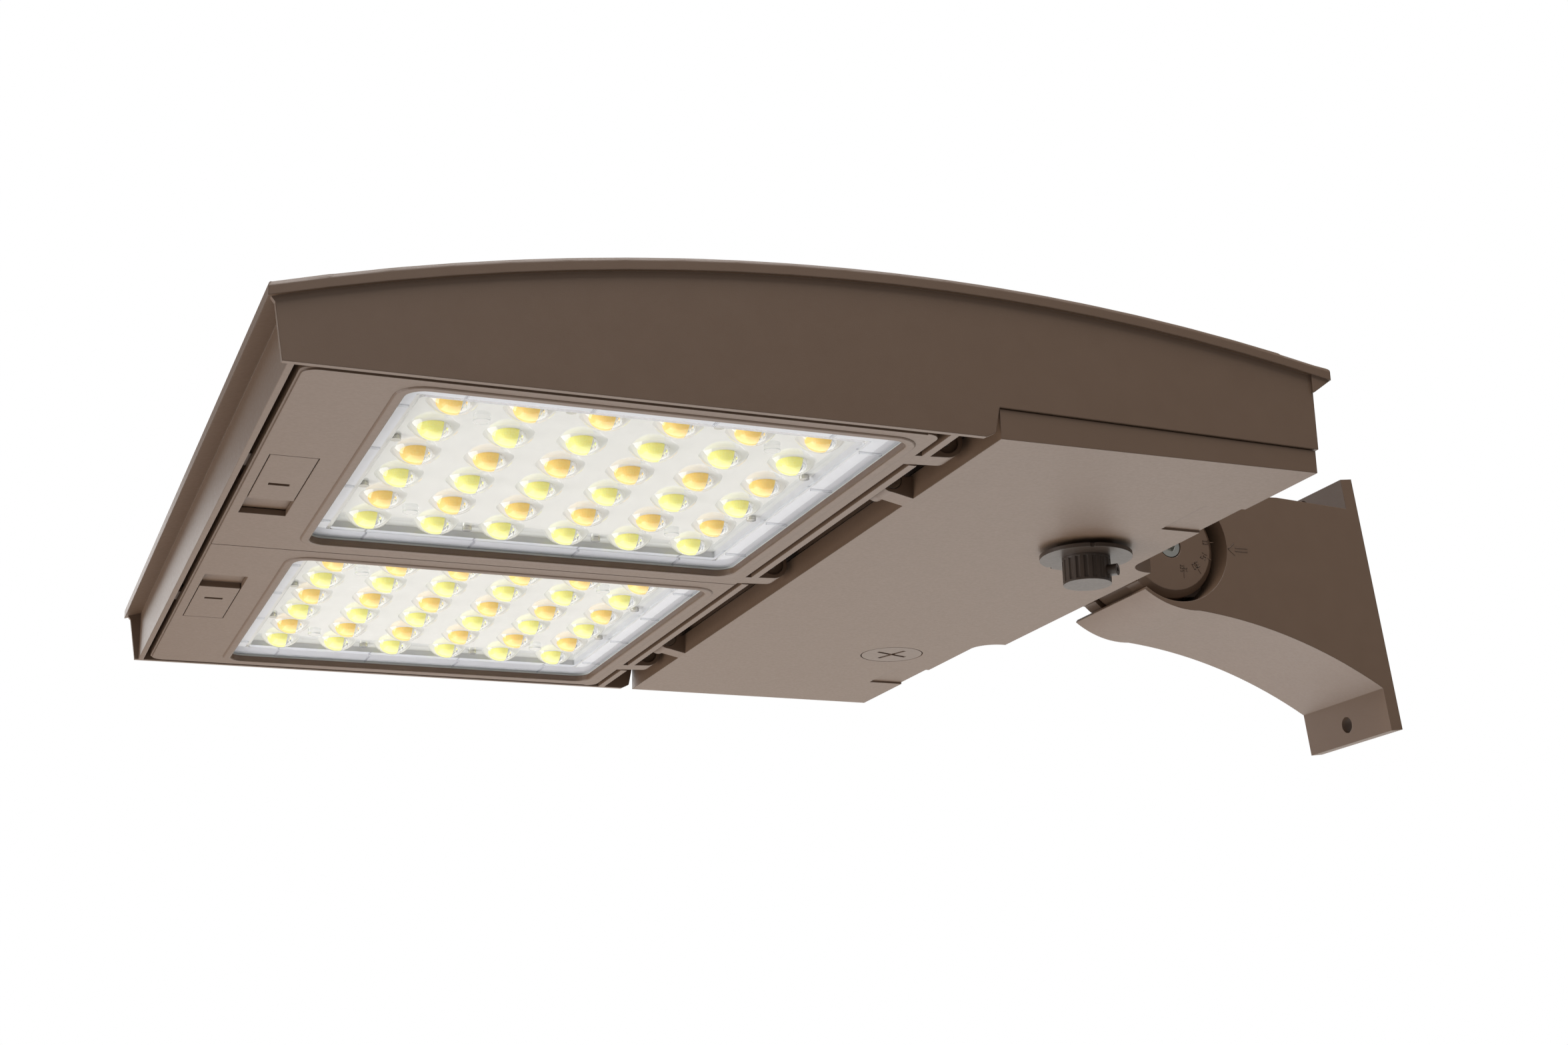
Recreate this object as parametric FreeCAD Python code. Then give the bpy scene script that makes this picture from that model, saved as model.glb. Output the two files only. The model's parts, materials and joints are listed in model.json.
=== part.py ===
import FreeCAD, Part
import math
import os

V = FreeCAD.Vector

# A shoebox area light on its pole arm. Lengths are in millimetres.
#
# The row frame: X points into the pole, Y across the light, Z up. Its origin is the middle of the two
# bolt holes, on the arm's pole face. The head is drawn level in its own frame (X from the front edge
# to the pole, Z up from its lower plane) and is then tilted about the knuckle's pivot.

# Knuckle and arm
HEAD_TILT = 7.0             # degrees, front edge up
PIVOT_TO_POLE = 135.5       # pivot to the pole face
PIVOT_HEIGHT = 40.5         # pivot above the middle of the bolt holes
PIVOT_IN_HEAD_X = 480.0
PIVOT_IN_HEAD_Z = 34.5
EAR_RADIUS = 31.0
EAR_OUTER_Y = 36.0          # outer face of each ear
EAR_THICKNESS = 17.0
EAR_CHAMFER = 4.0
TONGUE_GAP = 0.4            # each side of the arm's tongue, between the ears
TONGUE_RADIUS = 28.0
KNUCKLE_GAP = 4.5           # ear rim to the arm's round seat
SHANK_LOWER = 22.0          # ear shank's lower edge, below the pivot
SHANK_ROOT_UPPER = 9.5      # ear shank's upper edge at its root, above the pivot
SHANK_RIM_BACK = 14.0       # where that edge meets the round ear, in front of the pivot
PIVOT_BOLT_RADIUS = 4.0
PIVOT_HEAD_RADIUS = 6.5
PIVOT_HEAD_HEIGHT = 8.0
PIVOT_HEAD_CLEARANCE = 0.65
PIVOT_RECESS = 10.0         # counterbore depth in the ear
PIVOT_WASHER = 1.6
PIVOT_KEY = 6.0             # across the flats of the bolt's socket
NUT_FLATS = 13.0
NUT_HEIGHT = 6.5
RUNNING_CLEARANCE = 0.05    # radial, on every turning pin
FIXED_CLEARANCE = 0.2       # radial, on every clamped screw
PRESS_CLEARANCE = 0.02      # radial, on pins pressed into the casting

ARM_HALF_WIDTH = 42.0
ARM_WALL = 4.0
PLATE_THICKNESS = 8.0
PLATE_ABOVE_PIVOT = 36.0
PLATE_BELOW_PIVOT = 122.0
ARM_TOP_AT_PLATE = 16.5     # arm's upper face at the plate, above the pivot
ARM_TOP_AT_BEND = 26.0
ARM_BEND_TO_PIVOT = 77.5
ARM_FOOT_BELOW_PIVOT = 99.0
ARM_ARCH_RISE = 57.6        # underside, below the pivot, 60.5 mm behind it
ARM_ARCH_BACK = 60.5
SEAT_WALL = 2.4             # casting under the round knuckle seat
SEAT_HEEL_X = 8.4           # where the seat's underside turns into the arch
SEAT_HEEL_DROP = 3.6
POLE_HOLE_RADIUS = 5.0
POLE_HOLE_SPACING = 139.7
WIRE_HOLE_RADIUS = 8.0

# Head casting
HALF_WIDTH = 277.0
WALL = 3.0
FRONT_X = -80.0             # outer face of the recessed front wall
REAR_X = 416.7              # outer face of the rear wall
ARCH_TOP_X = 213.0
ARCH_TOP_Z = 74.7
ARCH_RADIUS = 1126.0
LIP_DEPTH = 6.2
LIP_SIDE = 2.5
LIP_ENDS = 9.5
LIP_ROUND = 2.2
LIP_HEEL_Z = 41.1           # foot of the slope under the rear lip
CHEEK_FOOT = 2.4            # side walls run this far past the front wall, at the foot
CHEEK_HEAD = 6.2            # and this far under the lip
BULGE_HALF_WIDTH = 90.0
BULGE_DEPTH = 15.5
BULGE_TOP = 46.0
BULGE_SLOPE = 9.5
BULGE_FLARE = 14.0          # concave flare at each side of the bulge

# Hinge line between the light side and the gear side
HINGE_X = 233.0
HINGE_Z = 9.4
RAIL_TO_HINGE = 13.5        # rail's front face to the hinge axis
RAIL_THICKNESS = 4.1
CHANNEL_GAP = 0.8           # over the largest barrel
HINGE_PIN_RADIUS = 2.5
END_GAP = 0.3               # between barrels, along the pin
ARM_BARREL_RADIUS = 8.5
ARM_BARREL_LENGTH = 13.0
ARM_PITCH = 225.5
ARM_OFFSET = -9.5           # middle frame arm, off the light's centre plane
FIXED_BARREL_RADIUS = 5.6
FIXED_BARREL_LENGTH = 8.0
BARREL_DISH_RADIUS = 6.3
BARREL_DISH_DEPTH = 2.0
DOOR_BARREL_RADIUS = 7.0
DOOR_BARREL_LENGTH = 13.0
DOOR_BARREL_Y = 173.0
DOOR_SCREW_HEAD_RADIUS = 5.0
DOOR_SCREW_HEAD_HEIGHT = 3.0

# Light frame and its optics
FRAME_GAP = 3.3             # to the front wall and to the hinge rail
FRAME_SIDE_GAP = 2.0
FRAME_CORNER = 7.0
FRAME_EDGE_STEP = 1.0       # fine step round the frame's lower edge
SEAM_WIDTH = 0.8
SEAM_DEPTH = 0.7
WINDOW_FROM_FRONT = 47.2
WINDOW_FROM_REAR = 10.2
WINDOW_FROM_SEAM = 16.0
WINDOW_FROM_SIDE = 12.0
WINDOW_CORNER = 9.0
LENS_BORDER = 5.0           # lens plate's rim, beyond the window
GASKET_THICKNESS = 1.2
LENS_SHEET = 2.0
LENS_STEP = 4.6             # raised middle of the lens plate, above its border
LENS_STEP_MARGIN = 1.0      # around the board
LENS_STEP_WALL = 2.0
LENS_COUNT = 6              # lenses along each side of a board
LENS_EDGE_X = 16.5          # outer lenses' middles, from the board's edge
LENS_EDGE_Y = 12.0
LENS_SPAN = 24.5
LENS_HEIGHT = 6.5
LENS_FLAT = 10.5            # flat end of each lens, from its middle
LENS_CAVITY = 6.0           # radius of the hollow over each chip
TICK_WIDTH = 1.0            # ribs across the lens plate's border
TICK_HEIGHT = 0.6
TICK_SHARE_X = 0.275        # ribs at one and three of these shares of the board's half
TICK_SHARE_Y = 0.2925
BOARD_FROM_FRONT = 10.0     # board's edges inside the window's
BOARD_FROM_REAR = 14.5
BOARD_FROM_SEAM = 15.4
BOARD_FROM_SIDE = 20.6
BOARD_THICKNESS = 1.6
BOARD_GAP = 1.0             # between the lens sheet and the board, for the chips
CHIP_SIZE = 7.0
CHIP_HEIGHT = 0.9
LENS_SCREW_RADIUS = 1.5
LENS_SCREW_HEAD_RADIUS = 2.5
LENS_SCREW_HEAD = 1.8
LENS_SCREW_EDGE_X = 2.75    # from the board's edge
LENS_SCREW_EDGE_Y = 7.0
LOCATOR_RADIUS = 4.0
LOCATOR_HEIGHT = 2.0
SPREADER_THICKNESS = 3.0
SPREADER_BOSS_RADIUS = 3.2
SPREADER_SCREW_RADIUS = 1.5
SPREADER_SCREW_HEAD_RADIUS = 2.8
SPREADER_SCREW_HEAD = 2.0

# Slide latches in the frame's front border
LATCH_LENGTH = 69.0
LATCH_WIDTH = 22.0
LATCH_FROM_SEAM = 86.0
LATCH_FROM_FRONT = 6.3
LATCH_TRAVEL = 20.0
LATCH_POCKET = 6.0          # finger room beyond the latch's travel
LATCH_GAP = 0.5
LATCH_LIFT = 0.3            # slide flange, above the frame's plate
LATCH_FLANGE = 2.6
LATCH_FLANGE_THICKNESS = 1.8
LATCH_BOLT_LENGTH = 18.0
LATCH_BOLT_HEIGHT = 3.0
LATCH_SLOT_LENGTH = 10.0
LATCH_SLOT_WIDTH = 3.4
LATCH_SLOT_DEPTH = 1.6

# Gear door
DOOR_TO_HINGE = 11.0
DOOR_INSET = 1.2            # main rear edge, in front of the rear wall's face
DOOR_SIDE_INSET = 1.0
SEAM_FRONT_Z = 14.6
SEAM_REAR_Z = 11.4
SEAM_GAP = 0.5
DOOR_FRONT_WALL = 12.6
NOTCH_SLOPE = 8.0
NOTCH_STEP = 3.0
SEAT_Z = 16.0               # gasket seat in the casting
SEAT_WIDTH = 8.0
DOOR_GASKET = 2.5
DOOR_RIB = 3.0
DOOR_RIB_INSET = 2.5
GEAR_WALL_GAP = 1.0
POCKET_LENGTH = 23.5
POCKET_HALF_WIDTH = 22.0
POCKET_Y = 190.5
POCKET_DEPTH = 1.2
CLIP_WIDTH = 20.0
CLIP_THICKNESS = 1.0
CLIP_SETBACK = 2.0
CLIP_HEIGHT = 24.0
CLIP_FOOT = 12.0

# Control receptacle and blanking plug
PORT_X = 373.0
PORT_Y = 121.5
NECK_RADIUS = 15.0
NECK_HEIGHT = 2.8
STEM_RADIUS = 10.7
STEM_LENGTH = 9.0
STEM_NUT_RADIUS = 17.0
STEM_NUT_HEIGHT = 4.0
RING_RADIUS = 25.0
RING_HEIGHT = 2.2
RING_NOTCH = 1.5
CAP_RADIUS = 13.0
CAP_HEIGHT = 14.5
CAP_FLUTES = 18
CAP_FLUTE_RADIUS = 1.4
EYELET_RADIUS = 3.2
EYELET_REACH = 17.5
EYELET_DROP = 8.5           # below the locking ring
EYELET_LENGTH = 5.0
EYELET_PIN_RADIUS = 1.2
PLUG_Y = 134.0
PLUG_RADIUS = 20.0
PLUG_GAP = 0.7
PLUG_CROSS_LENGTH = 24.0
PLUG_CROSS_WIDTH = 2.6
PLUG_CROSS_DEPTH = 1.8
PLUG_FLANGE = 2.5
PLUG_FLANGE_THICKNESS = 1.5

# Gear compartment
DRIVER_SIZE = (66.0, 220.0, 30.0)
DRIVER_FROM_WALL = 14.0
DRIVER_Y = -30.0
BRACKET_THICKNESS = 2.0
BRACKET_TAB = 14.0
BRACKET_Z = 52.0
POST_RADIUS = 5.0
GEAR_SCREW_RADIUS = 2.0
GEAR_SCREW_HEAD_RADIUS = 3.6
GEAR_SCREW_HEAD = 2.6
SURGE_WIDTH = 30.0
SURGE_LENGTH = 56.0
SURGE_Y = 150.0
TERMINAL_SIZE = (24.0, 62.0, 18.0)
TERMINAL_WAYS = 3
TERMINAL_X = 385.0
GEAR_PAD_DROP = 6.0         # lowest side of the pads under the roof
GEAR_PAD_HALF = 8.0
GEAR_PAD_LENGTH = 36.0
SWITCH_SIZE = (20.0, 28.0, 12.0)
GLAND_RADIUS = 8.0
GLAND_FLANGE_RADIUS = 11.0
GLAND_FLANGE = 2.0
GLAND_NOSE = 8.0
GLAND_Z = 36.0
GLAND_BORE = 4.5
EARTH_SCREW_X = 385.0
EARTH_SCREW_Y = 64.0
EARTH_POST = 10.0

# Derived places in the head frame
RAIL_FRONT = HINGE_X - RAIL_TO_HINGE
RAIL_REAR = RAIL_FRONT + RAIL_THICKNESS
FRAME_FRONT = FRONT_X + WALL + FRAME_GAP
FRAME_REAR = RAIL_FRONT - FRAME_GAP
FRAME_HALF = HALF_WIDTH - WALL - FRAME_SIDE_GAP
WINDOW_X0 = FRAME_FRONT + WINDOW_FROM_FRONT
WINDOW_X1 = FRAME_REAR - WINDOW_FROM_REAR
WINDOW_Y0 = WINDOW_FROM_SEAM
WINDOW_Y1 = FRAME_HALF - WINDOW_FROM_SIDE
BOARD_X0 = WINDOW_X0 + BOARD_FROM_FRONT
BOARD_X1 = WINDOW_X1 - BOARD_FROM_REAR
BOARD_Y0 = WINDOW_Y0 + BOARD_FROM_SEAM
BOARD_Y1 = WINDOW_Y1 - BOARD_FROM_SIDE
FIELD_X = (BOARD_X0 + BOARD_X1) / 2
FIELD_Y = (BOARD_Y0 + BOARD_Y1) / 2
LENS_PITCH_X = (BOARD_X1 - BOARD_X0 - 2 * LENS_EDGE_X) / (LENS_COUNT - 1)
LENS_PITCH_Y = (BOARD_Y1 - BOARD_Y0 - 2 * LENS_EDGE_Y) / (LENS_COUNT - 1)
BORDER_Z = WALL + GASKET_THICKNESS
LENS_FACE_Z = BORDER_Z + LENS_STEP
BOARD_Z = LENS_FACE_Z + LENS_SHEET + BOARD_GAP
SPREADER_Z = BOARD_Z + BOARD_THICKNESS
FRAME_HEIGHT = SPREADER_Z
LATCH_X0 = FRAME_FRONT + LATCH_FROM_FRONT
LATCH_X1 = LATCH_X0 + LATCH_WIDTH
LATCH_Y0 = LATCH_FROM_SEAM
LATCH_Y1 = LATCH_FROM_SEAM + LATCH_LENGTH
DOOR_FRONT = HINGE_X + DOOR_TO_HINGE
DOOR_REAR = REAR_X - DOOR_INSET
DOOR_HALF = HALF_WIDTH - DOOR_SIDE_INSET
GEAR_WALL = DOOR_FRONT + WALL + GEAR_WALL_GAP
GEAR_X0 = GEAR_WALL + WALL
GEAR_X1 = REAR_X - WALL
CHANNEL_TOP = HINGE_Z + ARM_BARREL_RADIUS + CHANNEL_GAP
CHANNEL_ROOF = CHANNEL_TOP + WALL
TONGUE_HALF = EAR_OUTER_Y - EAR_THICKNESS - TONGUE_GAP
EAR_INNER_Y = EAR_OUTER_Y - EAR_THICKNESS
SEAT_RADIUS = EAR_RADIUS + KNUCKLE_GAP
BULGE_REAR = REAR_X + BULGE_DEPTH
BRACKET_X0 = GEAR_X0 + DRIVER_FROM_WALL
SPREADER_SCREW_XS = (FRAME_FRONT + WALL + 4.5, FRAME_REAR - WALL - 2.0)
SPREADER_SCREW_YS = (WINDOW_Y0 - LENS_BORDER - 3.5, FRAME_HALF - WALL - 3.0)


# ---- plain shapes ----

def box(x0, x1, y0, y1, z0, z1):
    return Part.makeBox(x1 - x0, y1 - y0, z1 - z0, V(x0, y0, z0))


def rod_x(radius, x0, x1, y, z):
    return Part.makeCylinder(radius, x1 - x0, V(x0, y, z), V(1, 0, 0))


def rod_y(radius, x, y0, y1, z):
    return Part.makeCylinder(radius, y1 - y0, V(x, y0, z), V(0, 1, 0))


def rod_z(radius, x, y, z0, z1):
    return Part.makeCylinder(radius, z1 - z0, V(x, y, z0), V(0, 0, 1))


def side_prism(points, y0, y1):
    """Prism across the light, from an outline of (x, z) points."""
    corners = [V(x, y0, z) for x, z in points]
    outline = Part.makePolygon(corners + corners[:1])
    return Part.Face(outline).extrude(V(0, y1 - y0, 0))


def plan_prism(points, z0, z1):
    """Upright prism from an outline of (x, y) points."""
    corners = [V(x, y, z0) for x, y in points]
    outline = Part.makePolygon(corners + corners[:1])
    return Part.Face(outline).extrude(V(0, 0, z1 - z0))


def rounded_box(x0, x1, y0, y1, z0, z1, corner):
    blank = box(x0, x1, y0, y1, z0, z1)
    uprights = [e for e in blank.Edges if abs(e.Vertexes[0].Z - e.Vertexes[1].Z) > 1e-6]
    return blank.makeFillet(corner, uprights)


def hex_y(flats, x, y0, y1, z):
    radius = flats / 2 / math.cos(math.pi / 6)
    points = [(x + radius * math.cos(k * math.pi / 3), z + radius * math.sin(k * math.pi / 3))
              for k in range(6)]
    return side_prism(points, y0, y1)


def mirrored(shape):
    return shape.mirror(V(0, 0, 0), V(0, 1, 0))


def both_sides(shape):
    return [shape, mirrored(shape)]


def under_arch(drop, x0, x1, half_width, z0):
    """Prism up to the arched roof, lowered by drop."""
    radius = ARCH_RADIUS - drop
    centre_z = ARCH_TOP_Z - ARCH_RADIUS

    def roof(x):
        return V(x, -half_width, centre_z + math.sqrt(radius ** 2 - (x - ARCH_TOP_X) ** 2))

    foot0 = V(x0, -half_width, z0)
    foot1 = V(x1, -half_width, z0)
    edges = [
        Part.LineSegment(foot0, roof(x0)).toShape(),
        Part.Arc(roof(x0), roof((x0 + x1) / 2), roof(x1)).toShape(),
        Part.LineSegment(roof(x1), foot1).toShape(),
        Part.LineSegment(foot1, foot0).toShape(),
    ]
    return Part.Face(Part.Wire(edges)).extrude(V(0, 2 * half_width, 0))


def roof_z(x, drop=0.0):
    radius = ARCH_RADIUS - drop
    return ARCH_TOP_Z - ARCH_RADIUS + math.sqrt(radius ** 2 - (x - ARCH_TOP_X) ** 2)


def tilted(shape):
    """The head's own frame, tilted about the pivot into the row frame."""
    place = FreeCAD.Placement(V(-PIVOT_TO_POLE, 0, PIVOT_HEIGHT), FreeCAD.Rotation(V(0, 1, 0), HEAD_TILT))
    moved = shape.copy()
    moved.translate(V(-PIVOT_IN_HEAD_X, 0, -PIVOT_IN_HEAD_Z))
    return placed(moved, place)


def placed(shape, place):
    moved = shape.copy()
    moved.Placement = place.multiply(moved.Placement)
    return moved


def from_pivot(shape):
    """The arm's frame, with the pivot as its origin, into the row frame."""
    return placed(shape, FreeCAD.Placement(V(-PIVOT_TO_POLE, 0, PIVOT_HEIGHT), FreeCAD.Rotation()))


# ---- head casting ----

def roof_lip():
    """Arched roof slab whose rim overhangs the walls as a drip lip."""
    x0 = FRONT_X - LIP_ENDS
    x1 = REAR_X + LIP_ENDS
    half = HALF_WIDTH + LIP_SIDE
    slab = under_arch(0, x0, x1, half, 0).cut(under_arch(LIP_DEPTH, x0 - 1, x1 + 1, half + 1, -1))
    top = max(slab.Faces, key=lambda face: face.CenterOfMass.z)
    wedge = side_prism([(REAR_X - 1, LIP_HEEL_Z), (REAR_X, LIP_HEEL_Z), (x1, roof_z(x1, LIP_DEPTH)),
                        (REAR_X - 1, roof_z(x1, LIP_DEPTH / 2))], -half + 1, half - 1)
    return slab.makeFillet(LIP_ROUND, top.Edges).fuse(wedge)


def front_cheek():
    """Side wall's front edge, proud of the front wall."""
    top = roof_z(FRONT_X - LIP_ENDS + LIP_ROUND, LIP_DEPTH / 2)
    lip_foot = roof_z(FRONT_X - CHEEK_HEAD, LIP_DEPTH)
    outline = [
        (FRONT_X, 0),
        (FRONT_X - CHEEK_FOOT, 0),
        (FRONT_X - CHEEK_HEAD, lip_foot - 2.5),
        (FRONT_X - CHEEK_HEAD - 2.0, lip_foot),
        (FRONT_X - CHEEK_HEAD, top),
        (FRONT_X, top),
    ]
    return side_prism(outline, HALF_WIDTH - WALL, HALF_WIDTH)


def door_notch():
    """Room for the gear door, below the sloping seam in the side walls."""
    outline = [
        (DOOR_FRONT - NOTCH_SLOPE, -1),
        (DOOR_FRONT - NOTCH_SLOPE, 0),
        (DOOR_FRONT - NOTCH_STEP, 2.5),
        (DOOR_FRONT - 0.5, SEAM_FRONT_Z + SEAM_GAP),
        (REAR_X + 1, SEAM_REAR_Z + SEAM_GAP),
        (REAR_X + 1, -1),
    ]
    return side_prism(outline, -HALF_WIDTH - 1, HALF_WIDTH + 1)


def gear_seat():
    """Flange inside the gear compartment's mouth, for the door gasket."""
    half = HALF_WIDTH - WALL
    outer = box(GEAR_X0 - 1, GEAR_X1 + 1, -half - 1, half + 1, SEAT_Z, SEAT_Z + WALL)
    inner = box(GEAR_X0 + SEAT_WIDTH, GEAR_X1 - SEAT_WIDTH, -half + SEAT_WIDTH, half - SEAT_WIDTH,
                SEAT_Z - 1, SEAT_Z + WALL + 1)
    return outer.cut(inner)


def bulge_plan(x0, x1, inset, z):
    """Flat outline of the rear bulge, with concave flares into the wall at x1."""
    half = BULGE_HALF_WIDTH - inset
    flare = half + BULGE_FLARE
    x2 = BULGE_REAR - inset
    bend = math.sqrt(0.5)
    near_middle = V(x2 - (x2 - x1) * bend, -flare + BULGE_FLARE * bend, z)
    far_middle = V(near_middle.x, -near_middle.y, z)
    return Part.Wire([
        Part.LineSegment(V(x0, -flare, z), V(x1, -flare, z)).toShape(),
        Part.Arc(V(x1, -flare, z), near_middle, V(x2, -half, z)).toShape(),
        Part.LineSegment(V(x2, -half, z), V(x2, half, z)).toShape(),
        Part.Arc(V(x2, half, z), far_middle, V(x1, flare, z)).toShape(),
        Part.LineSegment(V(x1, flare, z), V(x0, flare, z)).toShape(),
        Part.LineSegment(V(x0, flare, z), V(x0, -flare, z)).toShape(),
    ])


def bulge_prism(x0, x1, inset, z0, z1):
    return Part.Face(bulge_plan(x0, x1, inset, z0)).extrude(V(0, 0, z1 - z0))


def rear_bulge():
    """Thick boss behind the rear wall that carries the knuckle, flared into the wall."""
    block = bulge_prism(GEAR_X1, REAR_X, 0, SEAM_REAR_Z + SEAM_GAP, BULGE_TOP)
    side = BULGE_HALF_WIDTH + BULGE_FLARE + 1
    slope = side_prism([(BULGE_REAR - BULGE_SLOPE, BULGE_TOP + 1), (BULGE_REAR + 1, BULGE_TOP + 1),
                        (BULGE_REAR + 1, BULGE_TOP - BULGE_SLOPE)], -side, side)
    return block.cut(slope)


def ear_blank(outer_y, inner_y):
    """One knuckle ear with its shank, drawn between two planes across the light."""
    low, high = sorted((outer_y, inner_y))
    x, z = PIVOT_IN_HEAD_X, PIVOT_IN_HEAD_Z
    disc = rod_y(EAR_RADIUS, x, low, high, z)
    rim_z = z + math.sqrt(EAR_RADIUS ** 2 - SHANK_RIM_BACK ** 2) - 0.01
    shank = side_prism([(BULGE_REAR - 1, z - SHANK_LOWER), (x, z - SHANK_LOWER), (x, z),
                        (x - SHANK_RIM_BACK, rim_z), (BULGE_REAR - 1, z + SHANK_ROOT_UPPER)], low, high)
    return disc.fuse(shank).removeSplitter()


def ear():
    """The near ear, with its chamfered outer rim."""
    blank = ear_blank(-EAR_OUTER_Y, -EAR_INNER_Y)
    face = min(blank.Faces, key=lambda f: f.CenterOfMass.y)
    rim = [e for e in face.Edges if e.BoundBox.XMax > BULGE_REAR + 1]
    return blank.makeChamfer(EAR_CHAMFER, rim)


def knuckle_bores():
    x, z = PIVOT_IN_HEAD_X, PIVOT_IN_HEAD_Z
    seat = PIVOT_HEAD_RADIUS + PIVOT_HEAD_CLEARANCE
    bores = rod_y(PIVOT_BOLT_RADIUS + FIXED_CLEARANCE, x, -EAR_OUTER_Y - 1, EAR_OUTER_Y + 1, z)
    near_seat = rod_y(seat, x, -EAR_OUTER_Y - 1, -EAR_OUTER_Y + PIVOT_RECESS, z)
    nut_seat = hex_y(NUT_FLATS + 2 * FIXED_CLEARANCE, x, EAR_OUTER_Y - PIVOT_RECESS, EAR_OUTER_Y + 1, z)
    return bores.fuse([near_seat, nut_seat])


def frame_arm_ys():
    return [ARM_OFFSET + k * ARM_PITCH for k in (-1, 0, 1)]


def fixed_barrels():
    """Barrels cast under the channel's roof: three for the light frame and two for the door."""
    barrels = []
    for y in frame_arm_ys():
        start = y + ARM_BARREL_LENGTH / 2 + END_GAP
        barrels.append(hung_barrel(start))
    for y in (-DOOR_BARREL_Y, DOOR_BARREL_Y):
        start = y + DOOR_BARREL_LENGTH / 2 + END_GAP
        barrels.append(hung_barrel(start))
    return barrels


def hung_barrel(y0):
    y1 = y0 + FIXED_BARREL_LENGTH
    barrel = rod_y(FIXED_BARREL_RADIUS, HINGE_X, y0, y1, HINGE_Z)
    web = box(HINGE_X - FIXED_BARREL_RADIUS, HINGE_X + FIXED_BARREL_RADIUS, y0, y1, HINGE_Z, CHANNEL_ROOF)
    return barrel.fuse(web)


def rail_gaps():
    half = ARM_BARREL_LENGTH / 2 + 0.8
    return [box(RAIL_FRONT - 1, RAIL_REAR + 1, y - half, y + half, -1, HINGE_Z) for y in frame_arm_ys()]


def gear_posts():
    """Posts under the roof that the driver bracket is screwed to."""
    return [rod_z(POST_RADIUS, x, y, BRACKET_Z, roof_z(x, WALL / 2)) for x, y in bracket_screw_places()]


def bracket_screw_places():
    x = BRACKET_X0 + DRIVER_SIZE[0] / 2
    reach = DRIVER_SIZE[1] / 2 + BRACKET_TAB / 2
    return [(x, DRIVER_Y - reach), (x, DRIVER_Y + reach)]


def housing():
    shell = under_arch(0.5, FRONT_X, REAR_X, HALF_WIDTH, 0).fuse([roof_lip(), rear_bulge()])
    inner = HALF_WIDTH - WALL
    light_room = under_arch(WALL, FRONT_X + WALL, RAIL_FRONT, inner, -1)
    gear_room = under_arch(WALL, RAIL_REAR, GEAR_X1, inner, CHANNEL_ROOF)
    gear_mouth = box(GEAR_X0, GEAR_X1, -inner, inner, -1, CHANNEL_ROOF + 1)
    channel = box(RAIL_REAR, GEAR_WALL, -inner, inner, -1, CHANNEL_TOP)
    wall_foot = box(GEAR_WALL - 1, GEAR_X0 + 1, -inner, inner, -1, SEAT_Z)
    shell = shell.cut([light_room, gear_room, gear_mouth, channel, wall_foot, door_notch()])
    cheeks = both_sides(front_cheek())
    ears = both_sides(ear())
    additions = cheeks + ears + [gear_seat()] + fixed_barrels() + gear_posts() + gear_pads()
    shell = shell.fuse(additions)
    cuts = rail_gaps() + [knuckle_bores(), gland_hole(), earth_hole()] + gear_screw_holes()
    cuts.append(rod_y(HINGE_PIN_RADIUS + PRESS_CLEARANCE, HINGE_X, -inner, inner, HINGE_Z))
    return shell.cut(cuts).removeSplitter()


def surge_top():
    return roof_z(BRACKET_X0 + DRIVER_SIZE[0] / 2 + SURGE_WIDTH / 2, WALL) - GEAR_PAD_DROP


def terminal_top():
    return roof_z(TERMINAL_X + TERMINAL_SIZE[0] / 2, WALL) - GEAR_PAD_DROP


def gear_pads():
    """Flat pads and the earth post under the sloping roof."""
    surge = gear_pad(BRACKET_X0 + DRIVER_SIZE[0] / 2, SURGE_Y, surge_top())
    terminal = gear_pad(TERMINAL_X, 0, terminal_top())
    earth = rod_z(POST_RADIUS, EARTH_SCREW_X, EARTH_SCREW_Y, earth_z(), roof_z(EARTH_SCREW_X, WALL))
    return [surge, terminal, earth]


def gear_pad(x, y, z0):
    return box(x - GEAR_PAD_HALF, x + GEAR_PAD_HALF, y - GEAR_PAD_LENGTH / 2, y + GEAR_PAD_LENGTH / 2, z0,
               roof_z(x + GEAR_PAD_HALF, WALL / 2))


def earth_z():
    return roof_z(EARTH_SCREW_X, WALL) - EARTH_POST


def earth_hole():
    return rod_z(GEAR_SCREW_RADIUS + FIXED_CLEARANCE, EARTH_SCREW_X, EARTH_SCREW_Y, earth_z() - 1, earth_z() + 8)


def gear_screw_holes():
    return [rod_z(GEAR_SCREW_RADIUS + FIXED_CLEARANCE, x, y, BRACKET_Z - 1, BRACKET_Z + 8)
            for x, y in bracket_screw_places()]


# ---- light frame ----

def frame_window(y_sign):
    low, high = sorted((y_sign * WINDOW_Y0, y_sign * WINDOW_Y1))
    return rounded_box(WINDOW_X0, WINDOW_X1, low, high, -1, FRAME_HEIGHT + 1, WINDOW_CORNER)


def frame_arm(y):
    """Hinge arm behind the light frame, with its dished barrel."""
    y0 = y - ARM_BARREL_LENGTH / 2
    y1 = y + ARM_BARREL_LENGTH / 2
    web = side_prism([(FRAME_REAR - WALL, 0), (HINGE_X, HINGE_Z - ARM_BARREL_RADIUS),
                      (HINGE_X, HINGE_Z), (FRAME_REAR - WALL, 6)], y0, y1)
    barrel = rod_y(ARM_BARREL_RADIUS, HINGE_X, y0, y1, HINGE_Z)
    dish = rod_y(BARREL_DISH_RADIUS, HINGE_X, y0 - 1, y0 + BARREL_DISH_DEPTH, HINGE_Z)
    bore = rod_y(HINGE_PIN_RADIUS + RUNNING_CLEARANCE, HINGE_X, y0 - 1, y1 + 1, HINGE_Z)
    return web.fuse(barrel).cut([dish, bore])


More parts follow.
